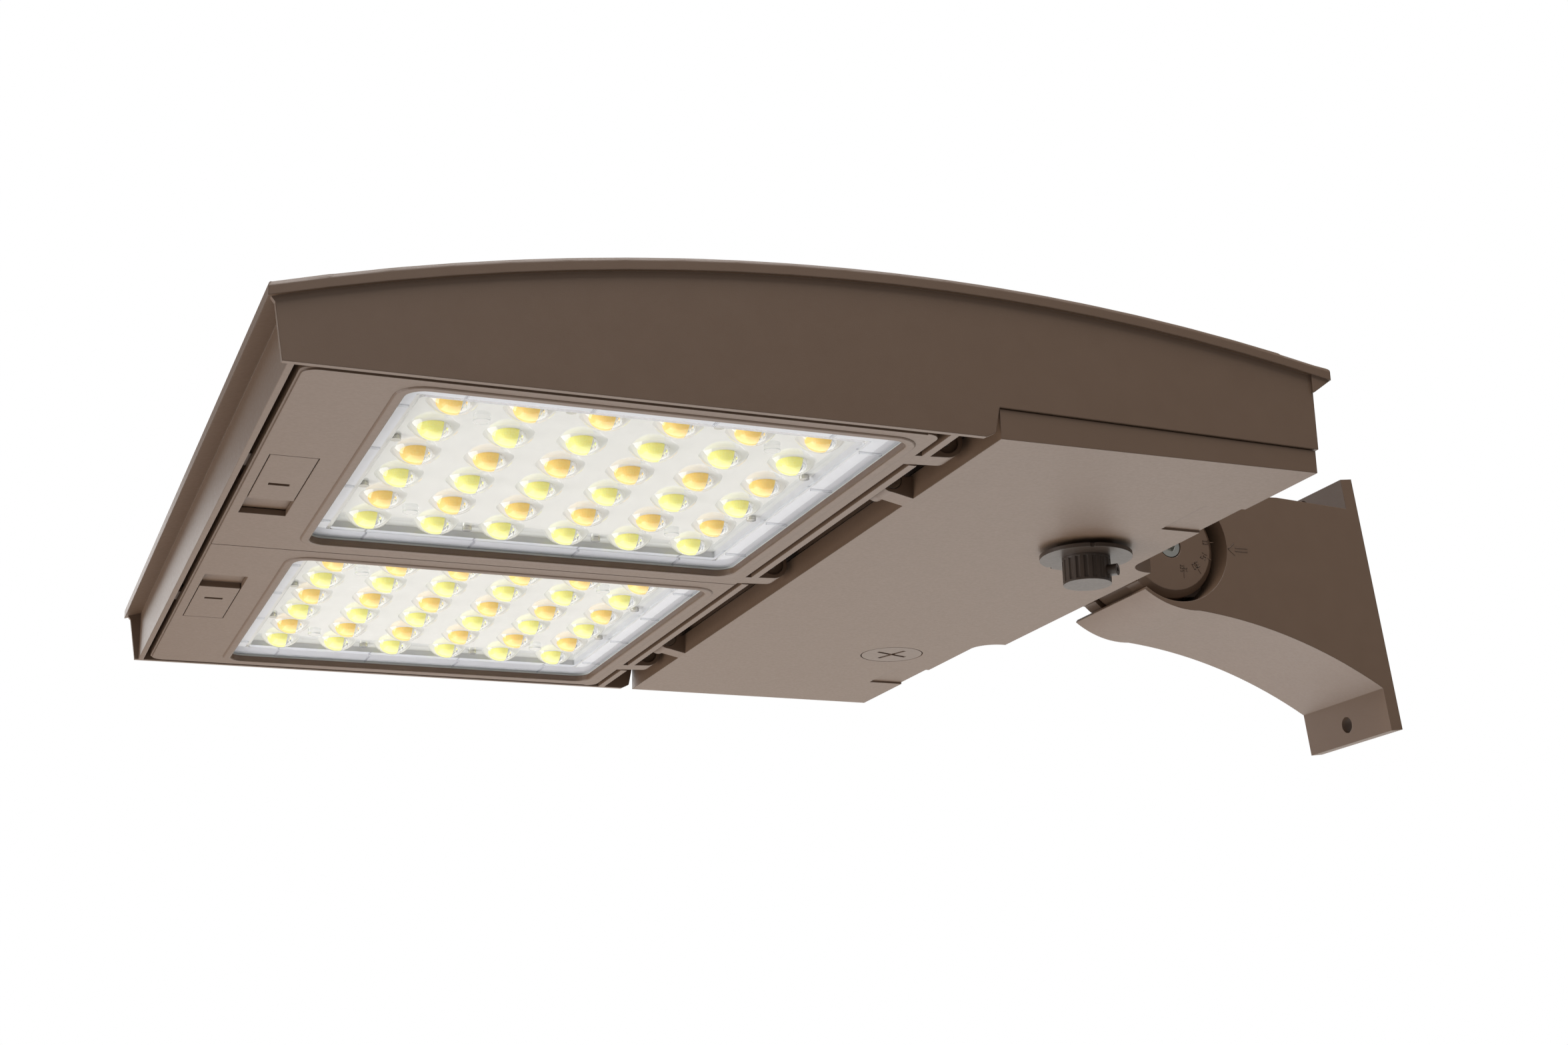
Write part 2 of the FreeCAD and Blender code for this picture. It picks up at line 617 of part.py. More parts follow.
def latch_opening(y_sign):
    low, high = sorted((y_sign * (LATCH_Y0 - LATCH_TRAVEL - LATCH_POCKET), y_sign * (LATCH_Y1 + LATCH_GAP)))
    return box(LATCH_X0 - LATCH_GAP, LATCH_X1 + LATCH_GAP, low, high, -1, WALL + 1)


def latch_bolt_slot(y_sign):
    """Slot in the frame's front wall for the latch bolt, with its travel."""
    start = latch_bolt_y() - LATCH_TRAVEL - 1
    stop = latch_bolt_y() + LATCH_BOLT_LENGTH + 1
    low, high = sorted((y_sign * start, y_sign * stop))
    z0 = latch_bolt_z()
    return box(FRAME_FRONT - 1, FRAME_FRONT + WALL + 1, low, high, z0 - LATCH_LIFT, z0 + LATCH_BOLT_HEIGHT + 1)


def latch_bolt_y():
    return (LATCH_Y0 + LATCH_Y1) / 2


def latch_bolt_z():
    return WALL + LATCH_LIFT + LATCH_FLANGE_THICKNESS


def light_frame():
    outer = rounded_box(FRAME_FRONT, FRAME_REAR, -FRAME_HALF, FRAME_HALF, 0, FRAME_HEIGHT, FRAME_CORNER)
    step = outer.cut(rounded_box(FRAME_FRONT + FRAME_EDGE_STEP, FRAME_REAR + 1, -FRAME_HALF + FRAME_EDGE_STEP,
                                 FRAME_HALF - FRAME_EDGE_STEP, -1, FRAME_HEIGHT + 1, FRAME_CORNER))
    step = step.common(box(FRAME_FRONT - 1, FRAME_REAR - FRAME_CORNER, -FRAME_HALF, FRAME_HALF, -1, 1))
    rooms = []
    for sign in (-1, 1):
        low, high = sorted((sign * WALL / 2, sign * (FRAME_HALF - WALL)))
        rooms.append(box(FRAME_FRONT + WALL, FRAME_REAR - WALL, low, high, WALL, FRAME_HEIGHT + 1))
    seam = box(FRAME_FRONT - 1, FRAME_REAR + 1, -SEAM_WIDTH / 2, SEAM_WIDTH / 2, -1, SEAM_DEPTH)
    frame = outer.cut(rooms + [step, seam])
    bosses = [rod_z(SPREADER_BOSS_RADIUS, x, y, 1, FRAME_HEIGHT) for x, y in spreader_screw_places()]
    arms = [frame_arm(y) for y in frame_arm_ys()]
    frame = frame.fuse(bosses + arms)
    cuts = []
    for sign in (-1, 1):
        cuts += [frame_window(sign), latch_opening(sign), latch_bolt_slot(sign)]
    cuts += [rod_z(SPREADER_SCREW_RADIUS + FIXED_CLEARANCE, x, y, 4, FRAME_HEIGHT + 1)
             for x, y in spreader_screw_places()]
    return frame.cut(cuts).removeSplitter()


def spreader_screw_places():
    return [(x, sign * y) for x in SPREADER_SCREW_XS for y in SPREADER_SCREW_YS for sign in (-1, 1)]


def near_places(places):
    return [(x, y) for x, y in places if y < 0]


# The near optic is drawn at negative Y; the far one is its mirror image.

def lens_outline(grow, z0, z1):
    return rounded_box(WINDOW_X0 - grow, WINDOW_X1 + grow, -WINDOW_Y1 - grow, -WINDOW_Y0 + grow, z0, z1,
                       WINDOW_CORNER + grow)


def lens_gasket():
    return lens_outline(LENS_BORDER, WALL, BORDER_Z).cut(lens_outline(0.8, WALL - 1, BORDER_Z + 1))


def lens_places():
    middle = (LENS_COUNT - 1) / 2
    return [(FIELD_X + (i - middle) * LENS_PITCH_X, -FIELD_Y + (k - middle) * LENS_PITCH_Y)
            for k in range(LENS_COUNT) for i in range(LENS_COUNT)]


def chip_places(first_row):
    middle = (LENS_COUNT - 1) / 2
    return [(FIELD_X + (i - middle) * LENS_PITCH_X, -FIELD_Y + (k - middle) * LENS_PITCH_Y)
            for k in range(first_row, LENS_COUNT, 2) for i in range(LENS_COUNT)]


def lens_dome(x, y):
    """Bulging street lens under the sheet, cut flat at its rear end."""
    half = LENS_SPAN / 2
    radius = (half ** 2 + LENS_HEIGHT ** 2) / (2 * LENS_HEIGHT)
    ball = Part.makeSphere(radius, V(x, y, LENS_FACE_Z - LENS_HEIGHT + radius))
    keep = box(x - half - 1, x + LENS_FLAT, y - half - 1, y + half + 1,
               LENS_FACE_Z - LENS_HEIGHT - 1, LENS_FACE_Z + 0.5)
    return ball.common(keep)


def lens_screw_places():
    end = (BOARD_X1 - BOARD_X0) / 2 - LENS_SCREW_EDGE_X
    side = (BOARD_Y1 - BOARD_Y0) / 2 - LENS_SCREW_EDGE_Y
    ends = [(i * end, k * LENS_PITCH_Y) for i in (-1, 1) for k in (-1, 1)]
    sides = [(i * LENS_PITCH_X, k * side) for i in (-1, 1) for k in (-1, 1)]
    return [(FIELD_X + dx, -FIELD_Y + dy) for dx, dy in ends + sides]


def locator_places():
    return [(FIELD_X + i * 2 * LENS_PITCH_X, -FIELD_Y + k * 2 * LENS_PITCH_Y) for i in (-1, 1) for k in (-1, 1)]


def field_box(margin, z0, z1):
    return rounded_box(BOARD_X0 - margin, BOARD_X1 + margin, -BOARD_Y1 - margin, -BOARD_Y0 + margin, z0, z1,
                       LENS_STEP_WALL + margin / 2)


def border_ticks():
    """Ribs across the lens plate's border, four along each side."""
    step = LENS_STEP_MARGIN + LENS_STEP_WALL
    half = TICK_WIDTH / 2
    ticks = []
    for k in (-3, -1, 1, 3):
        x = FIELD_X + k * TICK_SHARE_X * (BOARD_X1 - BOARD_X0) / 2
        ticks.append(tick(x - half, x + half, -BOARD_Y0 + step, -WINDOW_Y0))
        ticks.append(tick(x - half, x + half, -WINDOW_Y1, -BOARD_Y1 - step))
        y = -FIELD_Y + k * TICK_SHARE_Y * (BOARD_Y1 - BOARD_Y0) / 2
        ticks.append(tick(WINDOW_X0, BOARD_X0 - step, y - half, y + half))
        ticks.append(tick(BOARD_X1 + step, WINDOW_X1, y - half, y + half))
    return ticks


def tick(x0, x1, y0, y1):
    return box(x0, x1, y0, y1, BORDER_Z - TICK_HEIGHT, BORDER_Z + LENS_SHEET / 2)


def lens_plate():
    """Clear plate: border on the gasket, raised middle over the board, and its lenses."""
    top = LENS_FACE_Z + LENS_SHEET
    border = lens_outline(LENS_BORDER, BORDER_Z, BORDER_Z + LENS_SHEET)
    block = field_box(LENS_STEP_MARGIN + LENS_STEP_WALL, BORDER_Z, top)
    hollow = field_box(LENS_STEP_MARGIN, BORDER_Z - 1, LENS_FACE_Z)
    domes = [lens_dome(x, y) for x, y in lens_places()]
    locators = [rod_z(LOCATOR_RADIUS, x, y, LENS_FACE_Z - LOCATOR_HEIGHT, BOARD_Z) for x, y in locator_places()]
    holes = [rod_z(LENS_SCREW_RADIUS + FIXED_CLEARANCE, x, y, LENS_FACE_Z - 1, BOARD_Z + 1)
             for x, y in lens_screw_places()]
    cavities = [Part.makeSphere(LENS_CAVITY, V(x, y, BOARD_Z - CHIP_HEIGHT)) for x, y in lens_places()]
    return border.fuse(block).cut(hollow).fuse(domes + locators + border_ticks()).cut(holes + cavities)


def led_board():
    blank = box(BOARD_X0, BOARD_X1, -BOARD_Y1, -BOARD_Y0, BOARD_Z, BOARD_Z + BOARD_THICKNESS)
    holes = [rod_z(LENS_SCREW_RADIUS + FIXED_CLEARANCE, x, y, BOARD_Z - 1, BOARD_Z + BOARD_THICKNESS + 1)
             for x, y in lens_screw_places()]
    return blank.cut(holes)


def led_chips(first_row):
    half = CHIP_SIZE / 2
    return Part.makeCompound([box(x - half, x + half, y - half, y + half, BOARD_Z - CHIP_HEIGHT, BOARD_Z)
                              for x, y in chip_places(first_row)])


def lens_screws():
    screws = []
    for x, y in lens_screw_places():
        head = rod_z(LENS_SCREW_HEAD_RADIUS, x, y, LENS_FACE_Z - LENS_SCREW_HEAD, LENS_FACE_Z)
        shank = rod_z(LENS_SCREW_RADIUS, x, y, LENS_FACE_Z, SPREADER_Z + SPREADER_THICKNESS - 0.5)
        screws.append(head.fuse(shank))
    return Part.makeCompound(screws)


def heat_spreader():
    blank = rounded_box(FRAME_FRONT + 1, FRAME_REAR - 1, -FRAME_HALF + 1, -END_GAP / 2, SPREADER_Z,
                        SPREADER_Z + SPREADER_THICKNESS, FRAME_CORNER / 2)
    holes = [rod_z(LENS_SCREW_RADIUS + FIXED_CLEARANCE, x, y, SPREADER_Z - 1, SPREADER_Z + SPREADER_THICKNESS + 1)
             for x, y in lens_screw_places()]
    holes += [rod_z(SPREADER_SCREW_RADIUS + FIXED_CLEARANCE, x, y, SPREADER_Z - 1,
                    SPREADER_Z + SPREADER_THICKNESS + 1) for x, y in near_places(spreader_screw_places())]
    return blank.cut(holes)


def spreader_screws():
    top = SPREADER_Z + SPREADER_THICKNESS
    screws = []
    for x, y in spreader_screw_places():
        head = rod_z(SPREADER_SCREW_HEAD_RADIUS, x, y, top, top + SPREADER_SCREW_HEAD)
        screws.append(head.fuse(rod_z(SPREADER_SCREW_RADIUS, x, y, 5, top)))
    return Part.makeCompound(screws)


def latch():
    """Near slide latch: flush plate, inner flange and the bolt that passes the frame's front wall."""
    plate = box(LATCH_X0, LATCH_X1, -LATCH_Y1, -LATCH_Y0, 0, WALL + LATCH_LIFT)
    flange_z = WALL + LATCH_LIFT
    flange = box(LATCH_X0 - LATCH_FLANGE, LATCH_X1 + LATCH_FLANGE, -LATCH_Y1 - LATCH_FLANGE - LATCH_TRAVEL,
                 -LATCH_Y0 + LATCH_TRAVEL + LATCH_POCKET, flange_z, flange_z + LATCH_FLANGE_THICKNESS)
    y0 = latch_bolt_y()
    bolt = box(FRAME_FRONT - FRAME_GAP + 1, LATCH_X0 + 4, -y0 - LATCH_BOLT_LENGTH, -y0,
               latch_bolt_z() - 0.1, latch_bolt_z() + LATCH_BOLT_HEIGHT)
    slot_x = (LATCH_X0 + LATCH_X1) / 2
    slot_y = -LATCH_Y0 - LATCH_LENGTH * 0.36
    slot = box(slot_x - LATCH_SLOT_LENGTH / 2, slot_x + LATCH_SLOT_LENGTH / 2,
               slot_y - LATCH_SLOT_WIDTH / 2, slot_y + LATCH_SLOT_WIDTH / 2, -1, LATCH_SLOT_DEPTH)
    return plate.fuse([flange, bolt]).cut(slot)


def frame_hinge_pins():
    pins = []
    for y in frame_arm_ys():
        start = y - ARM_BARREL_LENGTH / 2 + BARREL_DISH_DEPTH
        stop = y + ARM_BARREL_LENGTH / 2 + END_GAP + FIXED_BARREL_LENGTH
        pins.append(rod_y(HINGE_PIN_RADIUS, HINGE_X, start - 1, stop, HINGE_Z))
    return Part.makeCompound(pins)


# ---- gear door ----

def door_skirt_outline():
    return [(DOOR_FRONT, 0), (DOOR_FRONT, SEAM_FRONT_Z), (DOOR_REAR, SEAM_REAR_Z), (DOOR_REAR, 0)]


def door_tab(y):
    """Hinge tab and barrel in front of the door."""
    y0 = y - DOOR_BARREL_LENGTH / 2
    y1 = y + DOOR_BARREL_LENGTH / 2
    web = side_prism([(DOOR_FRONT + WALL, 0), (DOOR_FRONT, 0), (HINGE_X, HINGE_Z - DOOR_BARREL_RADIUS),
                      (HINGE_X, HINGE_Z), (DOOR_FRONT + WALL, DOOR_FRONT_WALL)], y0, y1)
    barrel = rod_y(DOOR_BARREL_RADIUS, HINGE_X, y0, y1, HINGE_Z)
    seat = rod_y(DOOR_SCREW_HEAD_RADIUS + FIXED_CLEARANCE, HINGE_X, y0 - 1,
                 y0 + DOOR_SCREW_HEAD_HEIGHT + END_GAP, HINGE_Z)
    bore = rod_y(HINGE_PIN_RADIUS + RUNNING_CLEARANCE, HINGE_X, y0 - 1, y1 + 1, HINGE_Z)
    return web.fuse(barrel).cut([seat, bore])


def door_rib_ring(z0, z1):
    """Ring on the door's inside, under the casting's gasket seat."""
    half = HALF_WIDTH - WALL - DOOR_RIB_INSET
    x0 = GEAR_X0 + DOOR_RIB_INSET
    x1 = GEAR_X1 - DOOR_RIB_INSET
    outer = box(x0, x1, -half, half, z0, z1)
    inner = box(x0 + DOOR_RIB, x1 - DOOR_RIB, -half + DOOR_RIB, half - DOOR_RIB, z0 - 1, z1 + 1)
    return outer.cut(inner)


def door_pocket(sign, grow, z0, z1):
    low, high = sorted((sign * (POCKET_Y - POCKET_HALF_WIDTH - grow), sign * (POCKET_Y + POCKET_HALF_WIDTH + grow)))
    return box(DOOR_REAR - POCKET_LENGTH - grow, DOOR_REAR + (1 if grow == 0 else 0), low, high, z0, z1)


def rear_door():
    pan = side_prism(door_skirt_outline(), -DOOR_HALF, DOOR_HALF)
    top = max(SEAM_FRONT_Z, SEAM_REAR_Z) + 1
    room = box(DOOR_FRONT + WALL, DOOR_REAR - WALL, -DOOR_HALF + WALL, DOOR_HALF - WALL, WALL, top)
    front_room = box(DOOR_FRONT - 1, DOOR_FRONT + WALL + 0.01, -DOOR_HALF + WALL, DOOR_HALF - WALL,
                     DOOR_FRONT_WALL, top)
    pan = pan.cut([room, front_room])
    start = DOOR_REAR - 2 * WALL
    bulge = bulge_prism(start, DOOR_REAR, 0, 0, SEAM_REAR_Z)
    bulge = bulge.cut(bulge_prism(start - 1, DOOR_REAR - WALL, WALL, WALL, SEAM_REAR_Z + 1))
    pads = [door_pocket(sign, WALL, WALL - 1, POCKET_DEPTH + WALL) for sign in (-1, 1)]
    tabs = [door_tab(sign * DOOR_BARREL_Y) for sign in (-1, 1)]
    rib_top = SEAT_Z - DOOR_GASKET
    door = pan.fuse([bulge] + pads + tabs + [door_rib_ring(WALL - 1, rib_top)])
    cuts = [door_pocket(sign, 0, -1, POCKET_DEPTH) for sign in (-1, 1)]
    cuts.append(rod_z(STEM_RADIUS + FIXED_CLEARANCE, PORT_X, -PORT_Y, -1, WALL + 1))
    cuts.append(rod_z(PLUG_RADIUS, PORT_X, PLUG_Y, -1, WALL + 0.01))
    return door.cut(cuts).removeSplitter()


def door_gasket():
    return door_rib_ring(SEAT_Z - DOOR_GASKET, SEAT_Z)


def door_clips():
    """Leaf springs on the pocket pads that grip the casting's rear flange."""
    x1 = GEAR_X1 - SEAT_WIDTH - CLIP_SETBACK
    z0 = POCKET_DEPTH + WALL
    clips = []
    for sign in (-1, 1):
        y0 = sign * POCKET_Y - CLIP_WIDTH / 2
        blade = box(x1 - CLIP_THICKNESS, x1, y0, y0 + CLIP_WIDTH, z0, z0 + CLIP_HEIGHT)
        foot = box(x1 - CLIP_FOOT, x1, y0, y0 + CLIP_WIDTH, z0, z0 + CLIP_THICKNESS)
        clips.append(blade.fuse(foot))
    return Part.makeCompound(clips)


def door_hinge_screws():
    screws = []
    for y in (-DOOR_BARREL_Y, DOOR_BARREL_Y):
        y0 = y - DOOR_BARREL_LENGTH / 2
        head = rod_y(DOOR_SCREW_HEAD_RADIUS - 0.1, HINGE_X, y0 + END_GAP / 2,
                     y0 + DOOR_SCREW_HEAD_HEIGHT, HINGE_Z)
        shank = rod_y(HINGE_PIN_RADIUS, HINGE_X, y0 + 1, y0 + DOOR_BARREL_LENGTH + END_GAP + FIXED_BARREL_LENGTH,
                      HINGE_Z)
        cross = cross_cut(HINGE_X, HINGE_Z, y0)
        screws.append(head.fuse(shank).cut(cross))
    return Part.makeCompound(screws)


def cross_cut(x, z, y):
    """Cross recess in a screw head that faces the near side."""
    reach = DOOR_SCREW_HEAD_RADIUS * 0.55
    half = 0.7
    bar = box(x - reach, x + reach, y - 1, y + 1.8, z - half, z + half)
    post = box(x - half, x + half, y - 1, y + 1.8, z - reach, z + reach)
    return bar.fuse(post)


# ---- control receptacle and plug ----

def receptacle_base():
    neck = rod_z(NECK_RADIUS, PORT_X, -PORT_Y, -NECK_HEIGHT, 0)
    stem = rod_z(STEM_RADIUS, PORT_X, -PORT_Y, -1, STEM_LENGTH)
    return neck.fuse(stem)


def receptacle_nut():
    outer = rod_z(STEM_NUT_RADIUS, PORT_X, -PORT_Y, WALL, WALL + STEM_NUT_HEIGHT)
    return outer.cut(rod_z(STEM_RADIUS + FIXED_CLEARANCE / 2, PORT_X, -PORT_Y, 0, WALL + STEM_NUT_HEIGHT + 1))


def receptacle_ring():
    top = -NECK_HEIGHT
    ring = rod_z(RING_RADIUS, PORT_X, -PORT_Y, top - RING_HEIGHT, top)
    notches = []
    for angle in (70, 115, 250):
        turn = math.radians(angle)
        x = PORT_X + RING_RADIUS * math.cos(turn)
        y = -PORT_Y + RING_RADIUS * math.sin(turn)
        notches.append(rod_z(RING_NOTCH, x, y, top - RING_HEIGHT - 1, top + 1))
    return ring.cut(notches)


def receptacle_cap():
    top = -NECK_HEIGHT - RING_HEIGHT
    body = rod_z(CAP_RADIUS, PORT_X, -PORT_Y, top - CAP_HEIGHT, top)
    flutes = []
    for k in range(CAP_FLUTES):
        turn = 2 * math.pi * k / CAP_FLUTES
        x = PORT_X + (CAP_RADIUS + CAP_FLUTE_RADIUS * 0.4) * math.cos(turn)
        y = -PORT_Y + (CAP_RADIUS + CAP_FLUTE_RADIUS * 0.4) * math.sin(turn)
        flutes.append(rod_z(CAP_FLUTE_RADIUS, x, y, top - CAP_HEIGHT + 1.2, top - 1.2))
    return body.cut(flutes).fuse(eyelet_tube()).cut(eyelet_bore(EYELET_PIN_RADIUS))


def eyelet_direction():
    turn = math.radians(-50)
    return V(math.cos(turn), math.sin(turn), 0)


def eyelet_tube():
    z = -NECK_HEIGHT - RING_HEIGHT - EYELET_DROP
    start = V(PORT_X, -PORT_Y, z) + eyelet_direction() * (CAP_RADIUS - 3)
    return Part.makeCylinder(EYELET_RADIUS, EYELET_REACH - CAP_RADIUS + 3, start, eyelet_direction())


def eyelet_bore(radius):
    z = -NECK_HEIGHT - RING_HEIGHT - EYELET_DROP
    start = V(PORT_X, -PORT_Y, z) + eyelet_direction() * (EYELET_REACH - EYELET_LENGTH)
    return Part.makeCylinder(radius, EYELET_LENGTH + 1, start, eyelet_direction())


def cap_pin():
    z = -NECK_HEIGHT - RING_HEIGHT - EYELET_DROP
    start = V(PORT_X, -PORT_Y, z) + eyelet_direction() * (EYELET_REACH - EYELET_LENGTH)
    return Part.makeCylinder(EYELET_PIN_RADIUS - 0.05, EYELET_LENGTH - 1, start, eyelet_direction())


def blanking_plug():
    """Flush plug in the spare receptacle hole, with a cross slot for turning it."""
    disc = rod_z(PLUG_RADIUS - PLUG_GAP, PORT_X, PLUG_Y, 0, WALL + 0.5)
    flange = rod_z(PLUG_RADIUS + PLUG_FLANGE, PORT_X, PLUG_Y, WALL, WALL + PLUG_FLANGE_THICKNESS)
    reach = PLUG_CROSS_LENGTH / 2
    half = PLUG_CROSS_WIDTH / 2
    bar = box(PORT_X - reach, PORT_X + reach, PLUG_Y - half, PLUG_Y + half, -1, PLUG_CROSS_DEPTH)
    post = box(PORT_X - half, PORT_X + half, PLUG_Y - reach, PLUG_Y + reach, -1, PLUG_CROSS_DEPTH)
    cross = bar.fuse(post)
    cross.rotate(V(PORT_X, PLUG_Y, 0), V(0, 0, 1), 20)
    return disc.fuse(flange).cut(cross)


# ---- gear compartment ----

def driver_bracket():
    x0 = BRACKET_X0
    x1 = BRACKET_X0 + DRIVER_SIZE[0]
    half = DRIVER_SIZE[1] / 2 + BRACKET_TAB
    plate = box(x0, x1, DRIVER_Y - half, DRIVER_Y + half, BRACKET_Z - BRACKET_THICKNESS, BRACKET_Z)
    holes = [rod_z(GEAR_SCREW_RADIUS + FIXED_CLEARANCE, x, y, BRACKET_Z - BRACKET_THICKNESS - 1, BRACKET_Z + 1)
             for x, y in bracket_screw_places()]
    return plate.cut(holes)


def driver():
    length_x, length_y, height = DRIVER_SIZE
    top = BRACKET_Z - BRACKET_THICKNESS
    can = rounded_box(BRACKET_X0, BRACKET_X0 + length_x, DRIVER_Y - length_y / 2, DRIVER_Y + length_y / 2,
                      top - height, top, 4)
    return can


def gear_screws():
    screws = []
    low = BRACKET_Z - BRACKET_THICKNESS
    for x, y in bracket_screw_places():
        head = rod_z(GEAR_SCREW_HEAD_RADIUS, x, y, low - GEAR_SCREW_HEAD, low)
        screws.append(head.fuse(rod_z(GEAR_SCREW_RADIUS, x, y, low, BRACKET_Z + 7)))
    return Part.makeCompound(screws)


def surge_protector():
    x = BRACKET_X0 + DRIVER_SIZE[0] / 2
    half = SURGE_WIDTH / 2
    y0 = SURGE_Y - SURGE_LENGTH / 2
    return box(x - half, x + half, y0, y0 + SURGE_LENGTH, surge_top() - SURGE_WIDTH, surge_top())


def terminal_block():
    length_x, length_y, height = TERMINAL_SIZE
    roof = terminal_top()
    body = box(TERMINAL_X - length_x / 2, TERMINAL_X + length_x / 2, -length_y / 2, length_y / 2,
               roof - height, roof)
    ways = []
    for k in range(TERMINAL_WAYS):
        y = (k - (TERMINAL_WAYS - 1) / 2) * length_y / TERMINAL_WAYS
        ways.append(rod_z(3.2, TERMINAL_X, y, roof - height - 1, roof - height + 6))
    return body.cut(ways)


def selector_switch():
    length_x, length_y, height = SWITCH_SIZE
    top = BRACKET_Z - BRACKET_THICKNESS - DRIVER_SIZE[2]
    x = BRACKET_X0 + DRIVER_SIZE[0] / 2
    body = box(x - length_x / 2, x + length_x / 2, DRIVER_Y - length_y / 2, DRIVER_Y + length_y / 2,
               top - height, top)
    return body


def gland_hole():
    return rod_x(GLAND_RADIUS + FIXED_CLEARANCE, GEAR_X1 - 1, BULGE_REAR + 1, 0, GLAND_Z)


def cable_gland():
    body = rod_x(GLAND_RADIUS, GEAR_X1 - 3, BULGE_REAR + GLAND_FLANGE, 0, GLAND_Z)
    flange = rod_x(GLAND_FLANGE_RADIUS, BULGE_REAR, BULGE_REAR + GLAND_FLANGE, 0, GLAND_Z)
    nose = rod_x(GLAND_RADIUS - 1, BULGE_REAR, BULGE_REAR + GLAND_NOSE, 0, GLAND_Z)
    bore = rod_x(GLAND_BORE, GEAR_X1 - 5, BULGE_REAR + GLAND_NOSE + 1, 0, GLAND_Z)
    return body.fuse([flange, nose]).cut(bore)


def earth_screw():
    low = earth_z()
    head = rod_z(GEAR_SCREW_HEAD_RADIUS, EARTH_SCREW_X, EARTH_SCREW_Y, low - GEAR_SCREW_HEAD, low)
    return head.fuse(rod_z(GEAR_SCREW_RADIUS, EARTH_SCREW_X, EARTH_SCREW_Y, low, low + 7))


# ---- arm ----

def arm_point(x, z):
    return V(x, -ARM_HALF_WIDTH, z)


def arm_outline():
    """The arm's side view about the pivot: upper edge, pole plate's root, arched underside, knuckle seat."""
    plate_x = PIVOT_TO_POLE - PLATE_THICKNESS / 2
    seat_tip = -(SEAT_RADIUS + SEAT_WALL - 0.4) * math.sqrt(0.5)
    seat_low = -(SEAT_RADIUS + SEAT_WALL)
    top_front = arm_point(SEAT_RADIUS * 0.62, ARM_TOP_AT_BEND + 3.5)
    bend = arm_point(ARM_BEND_TO_PIVOT, ARM_TOP_AT_BEND)
    top_rear = arm_point(plate_x, ARM_TOP_AT_PLATE)
    foot = arm_point(plate_x, -ARM_FOOT_BELOW_PIVOT)
    arch = arm_point(ARM_ARCH_BACK, -ARM_ARCH_RISE)
    heel = arm_point(SEAT_HEEL_X, seat_low - SEAT_HEEL_DROP)
    cradle = arm_point(seat_low * 0.26, seat_low * 0.985)
    tip = arm_point(seat_tip, seat_tip)
    middle = arm_point(0, 0)
    return Part.Wire([
        Part.LineSegment(top_front, bend).toShape(),
        Part.LineSegment(bend, top_rear).toShape(),
        Part.LineSegment(top_rear, foot).toShape(),
        Part.Arc(foot, arch, heel).toShape(),
        Part.Arc(heel, cradle, tip).toShape(),
        Part.LineSegment(tip, middle).toShape(),
        Part.LineSegment(middle, top_front).toShape(),
    ])


def arm_room():
    """Hollow behind the pole face, where the pole's wires are joined."""
    half = ARM_HALF_WIDTH - ARM_WALL
    front = SEAT_RADIUS + 2 * ARM_WALL
    back = PIVOT_TO_POLE + 1
    foot = -ARM_FOOT_BELOW_PIVOT + 3 * ARM_WALL
    arch = -ARM_ARCH_RISE + 1.5 * ARM_WALL
    outline = [
        (front, ARM_TOP_AT_BEND - ARM_WALL),
        (ARM_BEND_TO_PIVOT, ARM_TOP_AT_BEND - ARM_WALL),
        (back, ARM_TOP_AT_PLATE - ARM_WALL),
        (back, foot),
        ((ARM_ARCH_BACK + 1.5 * back) / 2.5, (arch + 1.1 * foot) / 2.1),
        (ARM_ARCH_BACK, arch),
        (front, arch + 2 * ARM_WALL),
    ]
    return side_prism(outline, -half, half)


def arm():
    blank = Part.Face(arm_outline()).extrude(V(0, 2 * ARM_HALF_WIDTH, 0))
    plate = box(PIVOT_TO_POLE - PLATE_THICKNESS, PIVOT_TO_POLE, -ARM_HALF_WIDTH, ARM_HALF_WIDTH,
                -PLATE_BELOW_PIVOT, PLATE_ABOVE_PIVOT)
    seat = rod_y(SEAT_RADIUS, 0, -ARM_HALF_WIDTH - 1, ARM_HALF_WIDTH + 1, 0)
    tongue = rod_y(TONGUE_RADIUS, 0, -TONGUE_HALF, TONGUE_HALF, 0)
    web = box(0, SEAT_RADIUS + ARM_WALL, -TONGUE_HALF, TONGUE_HALF, -TONGUE_RADIUS, TONGUE_RADIUS * 0.9)
    casting = blank.cut(seat).fuse([plate, tongue, web])
    wire_hole = rod_z(WIRE_HOLE_RADIUS, SEAT_RADIUS + 2 * ARM_WALL + WIRE_HOLE_RADIUS + 2, 0, 0,
                      PLATE_ABOVE_PIVOT)
    bore = rod_y(PIVOT_BOLT_RADIUS + RUNNING_CLEARANCE, 0, -TONGUE_HALF - 1, TONGUE_HALF + 1, 0)
    holes = [rod_x(POLE_HOLE_RADIUS, PIVOT_TO_POLE - PLATE_THICKNESS - 20, PIVOT_TO_POLE + 1, 0,
                   -PIVOT_HEIGHT + sign * POLE_HOLE_SPACING / 2) for sign in (-1, 1)]
    return casting.cut([arm_room(), wire_hole, bore] + holes).removeSplitter()


def pivot_bolt():
    x, z = PIVOT_IN_HEAD_X, PIVOT_IN_HEAD_Z
    y0 = -EAR_OUTER_Y + PIVOT_RECESS - PIVOT_WASHER
    head = rod_y(PIVOT_HEAD_RADIUS, x, y0 - PIVOT_HEAD_HEIGHT, y0, z)
    shank = rod_y(PIVOT_BOLT_RADIUS, x, y0, EAR_OUTER_Y - 2, z)
    return head.fuse(shank).cut(hex_y(PIVOT_KEY, x, y0 - PIVOT_HEAD_HEIGHT - 1, y0 - PIVOT_HEAD_HEIGHT / 2, z))


